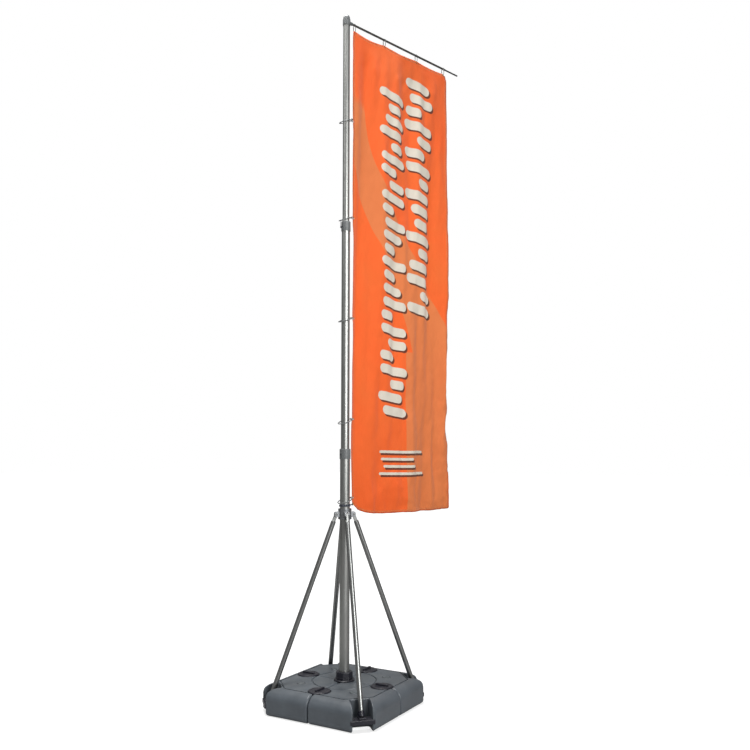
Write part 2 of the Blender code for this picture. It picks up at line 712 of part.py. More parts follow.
def loop_wire(name, points, radius):
    """A closed wire through the points, round in section."""
    curve = bpy.data.curves.new(name, "CURVE")
    curve.dimensions = "3D"
    curve.bevel_depth = radius
    curve.bevel_resolution = 1
    spline = curve.splines.new("POLY")
    spline.points.add(len(points) - 1)
    for place, point in zip(spline.points, points):
        place.co = (*point, 1.0)
    spline.use_cyclic_u = True
    obj = bpy.data.objects.new(name, curve)
    PARTS.objects.link(obj)
    mesh = bpy.data.meshes.new_from_object(obj.evaluated_get(
        bpy.context.evaluated_depsgraph_get()))
    bpy.data.objects.remove(obj)
    return link_new(name, mesh)


def hook_outline():
    """An upright oval round the crossbar and down to the banner, in the YZ plane."""
    top = CROSSBAR_RADIUS + RUN_GAP + HOOK_WIRE
    width = HOOK_HALF_WIDTH
    upper_centre = top - width
    lower_centre = upper_centre - HOOK_DROP + width
    steps = 6
    upper = [(0, width * math.cos(math.pi * step / steps),
              upper_centre + width * math.sin(math.pi * step / steps))
             for step in range(steps + 1)]
    lower = [(0, -y, lower_centre + upper_centre - z) for _, y, z in upper]
    return upper + lower


def make_hooks(material, head):
    """Four wire hooks over the crossbar."""
    wire = loop_wire("hook", hook_outline(), HOOK_WIRE)
    places = [((BANNER_INNER + share * BANNER_WIDTH, 0, CROSSBAR_Z), 0.0, head)
              for share in HOOK_SHARES]
    copies(wire, ["hook_%d" % (index + 1) for index in range(len(places))], material, places)


def make_rings(material, head):
    """Five loose rings round the mast, tilted up towards the banner."""
    centre = RING_INNER + RING_WIRE
    sides = 6
    section = [(centre + RING_WIRE * math.cos(math.tau * side / sides),
                -RING_WIRE * math.sin(math.tau * side / sides)) for side in range(sides)]
    ring = turned("ring", section)
    shaped(ring, Matrix.Rotation(-RING_TILT, 4, "Y"))
    heights = [BANNER_BOTTOM + share * BANNER_HEIGHT for share in RING_SHARES]
    heights.append(PIVOT_Z + LAST_RING_ABOVE_PIVOT)
    places = [((0, 0, height), 0.0, head) for height in heights]
    copies(ring, ["ring_%d" % (index + 1) for index in range(len(places))], material, places)


def make_corner_cord(material, head):
    """Turns of cord round the mast above the strut hub, with their tail beside the banner."""
    inner = LOWER_RADIUS + RUN_GAP
    low = PIVOT_Z + HUB_TOP_ABOVE_PIVOT + CORD_ABOVE_HUB
    pitch = 1.8 * CORD_RADIUS
    outline = []
    for turn in reversed(range(CORD_TURNS)):
        centre = low + CORD_RADIUS + turn * pitch
        for step in range(1, CORD_STEPS):
            angle = math.pi * step / CORD_STEPS
            outline.append((inner + CORD_RADIUS + CORD_RADIUS * math.sin(angle),
                            centre + CORD_RADIUS * math.cos(angle)))
    outline.append((inner, low + CORD_RADIUS / 2))
    outline.append((inner, low + CORD_RADIUS * 1.5 + (CORD_TURNS - 1) * pitch))
    cord = turned("cord", outline)
    tail = rod("tail", CORD_RADIUS, inner + CORD_RADIUS, BANNER_INNER - TOUCH_GAP, SMALL_ROUND)
    shaped(tail, along_x())
    shaped(tail, Matrix.Translation((0, 0, low + CORD_RADIUS + pitch)))
    finish(join(cord, tail), "corner_cord", material, head)


def make_banner(material, head):
    """The banner's sheet, with its lower inner corner gathered up beside the mast."""
    reach, rise = BANNER_TUCK
    outline = [(BANNER_INNER, BANNER_TOP), (BANNER_OUTER, BANNER_TOP),
               (BANNER_OUTER, BANNER_BOTTOM), (BANNER_INNER + 2 * reach, BANNER_BOTTOM + rise / 7),
               (BANNER_INNER + reach, BANNER_BOTTOM + 0.4 * rise),
               (BANNER_INNER, BANNER_BOTTOM + 1.4 * rise)]
    curve = bpy.data.curves.new("banner", "CURVE")
    curve.dimensions = "2D"
    curve.fill_mode = "BOTH"
    curve.extrude = BANNER_THICKNESS / 2
    spline = curve.splines.new("POLY")
    spline.points.add(len(outline) - 1)
    for place, (along, height) in zip(spline.points, outline):
        place.co = (along, height, 0.0, 1.0)
    spline.use_cyclic_u = True
    flat = bpy.data.objects.new("banner_outline", curve)
    PARTS.objects.link(flat)
    mesh = bpy.data.meshes.new_from_object(flat.evaluated_get(
        bpy.context.evaluated_depsgraph_get()))
    bpy.data.objects.remove(flat)
    bm = bmesh.new()
    bm.from_mesh(mesh)
    bmesh.ops.remove_doubles(bm, verts=bm.verts, dist=0.00001)
    bmesh.ops.rotate(bm, matrix=Matrix.Rotation(math.radians(90), 3, "X"), verts=bm.verts)
    banner = from_bmesh("banner", bm)
    finish(banner, "banner", material, head)


# ------------------------------------------------------------------ the whole flagpole

clear_scene()
PARTS = new_collection("flagpole")


def build():
    """Builds every piece."""
    slate_plastic = new_material("slate_plastic", (0.10, 0.12, 0.13), 0.5)
    black_plastic = new_material("black_plastic", (0.012, 0.012, 0.02), 0.45)
    grey_plastic = new_material("grey_plastic", (0.18, 0.19, 0.19), 0.5)
    aluminium = new_material("aluminium", (0.60, 0.61, 0.60), 0.32, 1.0)
    steel = new_material("dark_steel", (0.16, 0.16, 0.16), 0.4, 1.0)
    cast_metal = new_material("cast_metal", (0.28, 0.29, 0.30), 0.5, 0.8)
    water = new_material("water", (0.4, 0.55, 0.6), 0.1)
    cloth = new_material("orange_cloth", (0.80, 0.13, 0.03), 0.8)
    cord = new_material("dark_cord", (0.03, 0.035, 0.05), 0.8)

    make_tanks(slate_plastic, water)
    make_filler_caps(slate_plastic)
    make_links(black_plastic)
    make_socket(black_plastic)
    make_brackets(black_plastic)
    make_mast(aluminium, grey_plastic, black_plastic)
    make_hub(cast_metal)
    make_struts(aluminium, steel, black_plastic)
    head = pivot("head_pivot", (0, 0, 0), None, HEAD_YAW)
    make_mast_cap(grey_plastic)
    make_swivel(grey_plastic, head)
    make_crossbar(aluminium, steel, head)
    make_hooks(steel, head)
    make_rings(grey_plastic, head)
    make_corner_cord(cord, head)
    make_banner(cloth, head)


build()
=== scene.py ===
"""Telescopic banner flagpole: its looks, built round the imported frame.

Metres, +Z up, with the origin on the mast's axis at floor level. The crossbar points
HEAD_YAW away from +X, and what hangs on it is drawn along +X and then turned.
"""

import logging
import math
from dataclasses import dataclass
from enum import Enum
from typing import Iterable, Sequence

import bmesh
import bpy
from mathutils import Matrix, Vector


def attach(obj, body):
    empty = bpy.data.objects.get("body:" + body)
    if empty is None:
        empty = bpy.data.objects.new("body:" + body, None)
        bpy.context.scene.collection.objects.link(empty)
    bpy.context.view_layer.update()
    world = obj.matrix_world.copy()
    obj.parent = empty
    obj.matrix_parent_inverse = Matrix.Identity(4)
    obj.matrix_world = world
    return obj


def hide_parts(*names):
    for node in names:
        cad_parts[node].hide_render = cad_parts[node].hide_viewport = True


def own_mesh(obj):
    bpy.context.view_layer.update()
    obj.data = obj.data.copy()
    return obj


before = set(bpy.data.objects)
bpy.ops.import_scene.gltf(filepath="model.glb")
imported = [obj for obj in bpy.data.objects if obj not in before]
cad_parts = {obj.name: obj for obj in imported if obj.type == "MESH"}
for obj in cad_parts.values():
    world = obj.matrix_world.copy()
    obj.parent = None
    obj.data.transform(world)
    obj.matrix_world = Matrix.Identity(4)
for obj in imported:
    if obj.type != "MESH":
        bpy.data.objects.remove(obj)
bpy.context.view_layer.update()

SAME_POINT = 1e-5  # points this near each other, in metres, are joined after a carve
LOG = logging.getLogger("flagpole")

HEAD_YAW = math.radians(-16.0)
CORNERS = ("back", "left", "front", "right")
SIDES = ("rear_right", "rear_left", "front_left", "front_right")

Ink = tuple[float, float, float, float]
Point2 = tuple[float, float]


def ink(red: float, green: float, blue: float) -> Ink:
    """Returns an opaque colour."""
    return (red, green, blue, 1.0)


# ------------------------------------------------------------------ shader building

class Place(Enum):
    """Where a finish reads its pattern's coordinates from."""

    OBJECT = "object"
    OWN = "own_place"
    CLOTH = "cloth"


class Graph:
    """Adds nodes to one material or node group."""

    def __init__(self, tree: bpy.types.NodeTree) -> None:
        """Keeps the tree that nodes go into."""
        self.tree = tree

    def feed(self, socket: bpy.types.NodeSocket, value: object) -> None:
        """Links a socket to an input, or sets a plain value on it."""
        if isinstance(value, bpy.types.NodeSocket):
            self.tree.links.new(value, socket)
        else:
            socket.default_value = value

    def node(self, kind: str, values: dict | None = None, **settings: object) -> bpy.types.Node:
        """Adds one node.

        Args:
            kind: the node's type, without its ShaderNode prefix.
            values: a plain value or a socket for each input, by name or index.
            settings: attributes of the node.

        Returns:
            The new node.
        """
        made = self.tree.nodes.new("ShaderNode" + kind)
        for name, value in settings.items():
            setattr(made, name, value)
        for key, value in (values or {}).items():
            self.feed(made.inputs[key], value)
        return made

    def math(self, operation: str, *values: object, clamp: bool = False) -> bpy.types.NodeSocket:
        """Adds a Math node and returns its result."""
        made = self.node("Math", dict(enumerate(values)), operation=operation, use_clamp=clamp)
        return made.outputs[0]

    def ramp(self, value: object, low: object, high: object, start: float = 0.0,
             end: float = 1.0) -> bpy.types.NodeSocket:
        """Maps a value from low..high onto start..end, clamped, and returns the result."""
        made = self.node("MapRange", {0: value, 1: low, 2: high, 3: start, 4: end})
        return made.outputs[0]

    def mix(self, share: object, first: object, second: object) -> bpy.types.NodeSocket:
        """Mixes two colours by a share and returns the result."""
        return self.node("Mix", {0: share, 6: first, 7: second}, data_type="RGBA").outputs[2]

    def noise(self, place: object, scale: object, detail: float = 3.0,
              roughness: float = 0.55) -> bpy.types.NodeSocket:
        """Adds a Noise Texture and returns its factor."""
        made = self.node("TexNoise", {"Vector": place, "Scale": scale, "Detail": detail,
                                      "Roughness": roughness})
        return made.outputs[0]

    def stretch(self, place: object, scale: Sequence[float]) -> bpy.types.NodeSocket:
        """Scales a pattern's coordinates along each axis and returns them."""
        return self.node("Mapping", {"Vector": place, "Scale": scale}).outputs[0]

    def split(self, place: object) -> tuple[bpy.types.NodeSocket, ...]:
        """Returns a vector's X, Y and Z sockets."""
        return tuple(self.node("SeparateXYZ", {0: place}).outputs)

    def bump(self, height: object, distance: float, strength: float = 1.0,
             normal: object = None) -> bpy.types.NodeSocket:
        """Adds a Bump node, on another's normal if one is given, and returns its normal."""
        values = {"Height": height, "Distance": distance, "Strength": strength}
        if normal is not None:
            values["Normal"] = normal
        return self.node("Bump", values).outputs[0]

    def place(self, source: Place) -> bpy.types.NodeSocket:
        """Returns the coordinates that a finish reads its patterns from."""
        if source is Place.OBJECT:
            return self.node("TexCoord").outputs["Object"]
        if source is Place.CLOTH:
            return self.node("UVMap", uv_map=source.value).outputs[0]
        return self.node("Attribute", attribute_name=source.value).outputs["Vector"]

    def effect(self, effect: "Effect", **values: object) -> bpy.types.bpy_prop_collection:
        """Places a shared effect group with its own values and returns its outputs."""
        made = self.node("Group", node_tree=EFFECTS.group(effect))
        for name, value in values.items():
            self.feed(made.inputs[name.replace("_", " ")], value)
        return made.outputs


class Effect(Enum):
    """Surface effects that more than one finish uses."""

    GRAIN = "Surface grain"
    WEAR = "Edge wear"
    DUST = "Settled dust"
    LINES = "Drawn lines"
    KNIT = "Knitted cloth"
    STITCH = "Stitch line"
    BARS = "Printed bars"


class EffectShelf:
    """Builds each shared effect's node group once."""

    def __init__(self) -> None:
        """Starts with no group built."""
        self.built: dict[Effect, bpy.types.NodeTree] = {}

    def group(self, effect: Effect) -> bpy.types.NodeTree:
        """Returns the node group of an effect, building it the first time."""
        if effect not in self.built:
            builder = {Effect.GRAIN: self.grain, Effect.WEAR: self.wear, Effect.DUST: self.dust,
                       Effect.LINES: self.lines, Effect.KNIT: self.knit,
                       Effect.STITCH: self.stitch, Effect.BARS: self.bars}[effect]
            self.built[effect] = builder(effect.value)
        return self.built[effect]

    def begin(self, name: str, inputs: dict[str, float | None],
              outputs: Sequence[str]) -> tuple[Graph, dict, dict]:
        """Starts a node group.

        Args:
            name: the group's name.
            inputs: each input's default, or None for a vector.
            outputs: names of the float outputs.

        Returns:
            The group's graph, its input sockets by name and its output sockets by name.
        """
        tree = bpy.data.node_groups.new(name, "ShaderNodeTree")
        for label, default in inputs.items():
            kind = "NodeSocketVector" if default is None else "NodeSocketFloat"
            socket = tree.interface.new_socket(name=label, in_out="INPUT", socket_type=kind)
            if default is not None:
                socket.default_value = default
        for label in outputs:
            tree.interface.new_socket(name=label, in_out="OUTPUT", socket_type="NodeSocketFloat")
        entry = tree.nodes.new("NodeGroupInput")
        leave = tree.nodes.new("NodeGroupOutput")
        return (Graph(tree), {label: entry.outputs[label] for label in inputs},
                {label: leave.inputs[label] for label in outputs})

    def grain(self, name: str) -> bpy.types.NodeTree:
        """Fine moulded or cast grain, with a broad change of tone."""
        graph, given, out = self.begin(name, {"Place": None, "Scale": 300.0, "Patch": 9.0},
                                       ("Height", "Tone"))
        fine = graph.noise(given["Place"], given["Scale"], 2.0)
        broad = graph.noise(given["Place"], given["Patch"], 4.0, 0.6)
        graph.feed(out["Height"], fine)
        graph.feed(out["Tone"], graph.ramp(broad, 0.3, 0.7))
        return graph.tree

    def wear(self, name: str) -> bpy.types.NodeTree:
        """Rubbed edges, from how far a rounded normal turns, broken up by noise."""
        graph, given, out = self.begin(name, {"Place": None, "Width": 0.003, "Patch": 40.0},
                                       ("Mask",))
        rounded = graph.node("Bevel", {"Radius": given["Width"]}, samples=4).outputs[0]
        plain = graph.node("NewGeometry").outputs["Normal"]
        facing = graph.node("VectorMath", {0: rounded, 1: plain}, operation="DOT_PRODUCT")
        turn = graph.ramp(facing.outputs["Value"], 0.995, 0.80)
        patches = graph.ramp(graph.noise(given["Place"], given["Patch"], 5.0, 0.7), 0.42, 0.66)
        graph.feed(out["Mask"], graph.math("MULTIPLY", turn, patches, clamp=True))
        return graph.tree

    def dust(self, name: str) -> bpy.types.NodeTree:
        """Dust that has settled on what faces up."""
        graph, given, out = self.begin(name, {"Place": None, "Amount": 0.3, "Patch": 14.0},
                                       ("Mask",))
        up = graph.split(graph.node("NewGeometry").outputs["Normal"])[2]
        patches = graph.ramp(graph.noise(given["Place"], given["Patch"], 6.0, 0.65), 0.35, 0.75)
        share = graph.math("MULTIPLY", graph.ramp(up, 0.55, 1.0), patches)
        graph.feed(out["Mask"], graph.math("MULTIPLY", share, given["Amount"], clamp=True))
        return graph.tree

    def lines(self, name: str) -> bpy.types.NodeTree:
        """Fine lines drawn along a tube's length, which is the pattern's Z axis."""
        graph, given, out = self.begin(name, {"Place": None, "Density": 900.0},
                                       ("Height", "Tone"))
        fine = graph.noise(graph.stretch(given["Place"], (1.0, 1.0, 0.004)), given["Density"], 3.0)
        scuff = graph.noise(graph.stretch(given["Place"], (1.0, 1.0, 0.15)), 60.0, 5.0, 0.7)
        graph.feed(out["Height"], fine)
        graph.feed(out["Tone"], graph.ramp(scuff, 0.35, 0.7))
        return graph.tree

    def knit(self, name: str) -> bpy.types.NodeTree:
        """Knitted loops in rows, from the cloth's own coordinates in metres."""
        graph, given, out = self.begin(name, {"Across": 0.0, "Up": 0.0, "Pitch": 0.0012},
                                       ("Height", "Tone"))
        turns = graph.math("DIVIDE", math.tau, given["Pitch"])
        column = graph.math("MULTIPLY", given["Across"], turns)
        row = graph.math("MULTIPLY", given["Up"], turns)
        sway = graph.math("MULTIPLY", graph.math("SINE", row), 0.9)
        loops = graph.math("SINE", graph.math("ADD", column, sway))
        rows = graph.math("SINE", graph.math("MULTIPLY", row, 0.5))
        graph.feed(out["Height"], graph.math("MULTIPLY_ADD", loops, 0.35, 0.5))
        graph.feed(out["Tone"], graph.math("MULTIPLY_ADD", rows, 0.5, 0.5))
        return graph.tree

    def stitch(self, name: str) -> bpy.types.NodeTree:
        """A line of stitches, given the distance from it and the way along it."""
        graph, given, out = self.begin(
            name, {"Off": 0.0, "Along": 0.0, "Pitch": 0.006, "Width": 0.0012}, ("Thread", "Pucker"))
        off = graph.math("ABSOLUTE", given["Off"])
        beat = graph.math("FRACT", graph.math("DIVIDE", given["Along"], given["Pitch"]))
        near = graph.math("SUBTRACT", 1.0, graph.ramp(off, graph.math("MULTIPLY", given["Width"],
                                                                      0.5), given["Width"]))
        graph.feed(out["Thread"], graph.math("MULTIPLY", near, graph.math("LESS_THAN", beat, 0.7)))
        graph.feed(out["Pucker"], graph.ramp(off, 0.0, graph.math("MULTIPLY", given["Width"], 5.0)))
        return graph.tree

    def bars(self, name: str) -> bpy.types.NodeTree:
        """A column of slanting, round-ended bars of changing length."""
        graph, given, out = self.begin(
            name, {"Across": 0.0, "Up": 0.0, "Middle": 0.4, "Start": 1.0, "Pitch": 0.1,
                   "Count": 12.0, "Reach": 0.12, "Half Width": 0.03, "Slope": 0.3, "Seed": 0.0},
            ("Mask",))
        aside = graph.math("SUBTRACT", given["Across"], given["Middle"])
        lift = graph.math("MULTIPLY", aside, given["Slope"])
        level = graph.math("ADD", graph.math("SUBTRACT", given["Up"], given["Start"]), lift)
        steps = graph.math("DIVIDE", level, given["Pitch"])
        index = graph.math("FLOOR", steps)
        rise = graph.math("MULTIPLY", graph.math("SUBTRACT", graph.math("SUBTRACT", steps, index),
                                                 0.5), given["Pitch"])
        phase = graph.math("ADD", graph.math("MULTIPLY", index, 2.4), given["Seed"])
        share = graph.math("MULTIPLY_ADD", graph.math("SINE", phase), 0.26, 0.72)
        length = graph.math("MULTIPLY", given["Reach"], share)
        spare = graph.math("SUBTRACT", given["Reach"], length)
        drift = graph.math("MULTIPLY", spare, graph.math("SINE", graph.math("MULTIPLY", phase,
                                                                            1.7)))
        beyond = graph.math("SUBTRACT", graph.math("ABSOLUTE", graph.math("SUBTRACT", aside,
                                                                          drift)), length)
        past = graph.math("MAXIMUM", graph.math("ADD", beyond, given["Half Width"]), 0.0)
        reach = graph.math("SQRT", graph.math("ADD", graph.math("POWER", past, 2.0),
                                              graph.math("POWER", rise, 2.0)))
        inside = graph.ramp(graph.math("SUBTRACT", reach, given["Half Width"]), 0.0015, -0.0015)
        first = graph.math("GREATER_THAN", index, -0.5)
        last = graph.math("LESS_THAN", index, graph.math("SUBTRACT", given["Count"], 0.5))
        graph.feed(out["Mask"], graph.math("MULTIPLY", inside, graph.math("MULTIPLY", first, last)))
        return graph.tree


EFFECTS = EffectShelf()


# ------------------------------------------------------------------ finishes

@dataclass(frozen=True)
class Finish:
    """What every finish has: a name, the record's slot, and where its patterns read from."""

    name: str
    slot: str
    place: Place = Place.OBJECT

    def begin(self) -> tuple[bpy.types.Material, Graph, bpy.types.Node]:
        """Returns a new material, its graph and its Principled shader."""
        material = bpy.data.materials.new(self.name)
        material.use_nodes = True
        graph = Graph(material.node_tree)
        return material, graph, material.node_tree.nodes["Principled BSDF"]

    def material(self) -> bpy.types.Material:
        """Returns the finish's material."""
        raise NotImplementedError


@dataclass(frozen=True)
class MouldedPlastic(Finish):
    """Moulded plastic with a fine grain, a mottled tone, rubbed edges and dust."""

    colour: Ink = ink(0.1, 0.1, 0.1)
    rubbed: Ink = ink(0.3, 0.3, 0.3)
    roughness: float = 0.5
    grain_scale: float = 420.0
    grain_depth: float = 0.0004
    dust: float = 0.25
    mottle: float = 0.25

    def material(self) -> bpy.types.Material:
        """Returns the plastic's material."""
        material, graph, shader = self.begin()
        place = graph.place(self.place)
        grain = graph.effect(Effect.GRAIN, Place=place, Scale=self.grain_scale, Patch=7.0)
        wear = graph.effect(Effect.WEAR, Place=place, Width=0.0025, Patch=55.0)["Mask"]
        dust = graph.effect(Effect.DUST, Place=place, Amount=self.dust, Patch=16.0)["Mask"]
        deep = tuple(channel * (1.0 - self.mottle) for channel in self.colour[:3]) + (1.0,)
        base = graph.mix(grain["Tone"], deep, self.colour)
        rubbed = graph.mix(graph.math("MULTIPLY", wear, 0.55), base, self.rubbed)
        graph.feed(shader.inputs["Base Color"],
                   graph.mix(dust, rubbed, ink(0.30, 0.29, 0.27)))
        smooth = graph.math("MULTIPLY_ADD", grain["Tone"], 0.10, self.roughness - 0.05)
        graph.feed(shader.inputs["Roughness"],
                   graph.math("MULTIPLY_ADD", dust, 0.3, smooth, clamp=True))
        graph.feed(shader.inputs["Normal"], graph.bump(grain["Height"], self.grain_depth, 0.6))
        shader.inputs["Specular IOR Level"].default_value = 0.45
        return material


@dataclass(frozen=True)
class DrawnMetal(Finish):
    """Anodised tube with fine lines along its length and soft handling marks."""

    colour: Ink = ink(0.55, 0.56, 0.55)
    shade: Ink = ink(0.38, 0.39, 0.38)
    roughness: float = 0.42
    density: float = 900.0
    metallic: float = 1.0

    def material(self) -> bpy.types.Material:
        """Returns the tube's material."""
        material, graph, shader = self.begin()
        place = graph.place(self.place)
        lines = graph.effect(Effect.LINES, Place=place, Density=self.density)
        grain = graph.effect(Effect.GRAIN, Place=place, Scale=1500.0, Patch=5.0)
        tone = graph.math("MULTIPLY_ADD", lines["Height"], 0.4,
                          graph.math("MULTIPLY", grain["Tone"], 0.45), clamp=True)
        graph.feed(shader.inputs["Base Color"], graph.mix(tone, self.shade, self.colour))
        graph.feed(shader.inputs["Roughness"],
                   graph.math("MULTIPLY_ADD", lines["Tone"], 0.12, self.roughness - 0.04))
        graph.feed(shader.inputs["Normal"], graph.bump(lines["Height"], 0.00003, 0.3))
        shader.inputs["Metallic"].default_value = self.metallic
        return material


@dataclass(frozen=True)
class PlatedMetal(Finish):
    """Cast or plated metal with pits, a mottled tone and brighter edges."""

    colour: Ink = ink(0.2, 0.2, 0.2)
    bright: Ink = ink(0.5, 0.5, 0.5)
    roughness: float = 0.4
    grain_scale: float = 700.0
    grain_depth: float = 0.0003
    metallic: float = 0.9

    def material(self) -> bpy.types.Material:
        """Returns the metal's material."""
        material, graph, shader = self.begin()
        place = graph.place(self.place)
        grain = graph.effect(Effect.GRAIN, Place=place, Scale=self.grain_scale, Patch=30.0)
        wear = graph.effect(Effect.WEAR, Place=place, Width=0.0012, Patch=120.0)["Mask"]
        deep = tuple(channel * 0.7 for channel in self.colour[:3]) + (1.0,)
        base = graph.mix(grain["Tone"], deep, self.colour)
        graph.feed(shader.inputs["Base Color"], graph.mix(wear, base, self.bright))
        rough = graph.math("MULTIPLY_ADD", grain["Tone"], 0.14, self.roughness - 0.07)
        graph.feed(shader.inputs["Roughness"], graph.math("MULTIPLY_ADD", wear, -0.1, rough))
        graph.feed(shader.inputs["Normal"], graph.bump(grain["Height"], self.grain_depth, 0.5))
        shader.inputs["Metallic"].default_value = self.metallic
        return material


@dataclass(frozen=True)
class BraidedCord(Finish):
    """Braided cord: two sets of strands crossing on its own round-and-along map, with painted
    highlight on the strand crowns and painted shade between them.
    """

    colour: Ink = ink(0.03, 0.035, 0.05)
    # colour of the strand crowns, a painted highlight; the colour above is the painted shade in the
    # valleys between strands
    light: Ink = ink(0.09, 0.10, 0.13)
    strands: float = 8.0
    pitch: float = 0.006

    def material(self) -> bpy.types.Material:
        """Returns the cord's material."""
        material, graph, shader = self.begin()
        turn, along, _ = graph.split(graph.place(Place.CLOTH))
        around = graph.math("MULTIPLY", turn, math.tau * self.strands)
        run = graph.math("MULTIPLY", along, math.tau / self.pitch)
        left = graph.math("SINE", graph.math("ADD", around, run))
        right = graph.math("SINE", graph.math("SUBTRACT", around, run))
        # Painted shade and highlight: the strands' relief, also used for the bump, sets where the
        # colour turns lighter, broken up by fuzz.
        strand = graph.ramp(graph.math("MAXIMUM", left, right), -0.2, 1.0)
        fuzz = graph.noise(graph.place(Place.OBJECT), 1800.0, 3.0)
        share = graph.math("MULTIPLY", strand, graph.ramp(fuzz, 0.2, 0.8), clamp=True)
        graph.feed(shader.inputs["Base Color"], graph.mix(share, self.colour, self.light))
        graph.feed(shader.inputs["Roughness"], graph.ramp(fuzz, 0.0, 1.0, 0.75, 0.95))
        graph.feed(shader.inputs["Normal"], graph.bump(strand, 0.0006, 0.8))
        return material


@dataclass(frozen=True)
class StillWater(Finish):
    """Ballast water, with a faint ripple and a little silt."""

    def material(self) -> bpy.types.Material:
        """Returns the water's material."""
        material, graph, shader = self.begin()
        ripple = graph.noise(graph.place(self.place), 18.0, 3.0)
        graph.feed(shader.inputs["Base Color"],
                   graph.mix(ripple, ink(0.62, 0.74, 0.76), ink(0.48, 0.60, 0.60)))
        graph.feed(shader.inputs["Normal"], graph.bump(ripple, 0.002, 0.3))
        shader.inputs["Roughness"].default_value = 0.04
        shader.inputs["IOR"].default_value = 1.33
        shader.inputs["Transmission Weight"].default_value = 0.9
        return material


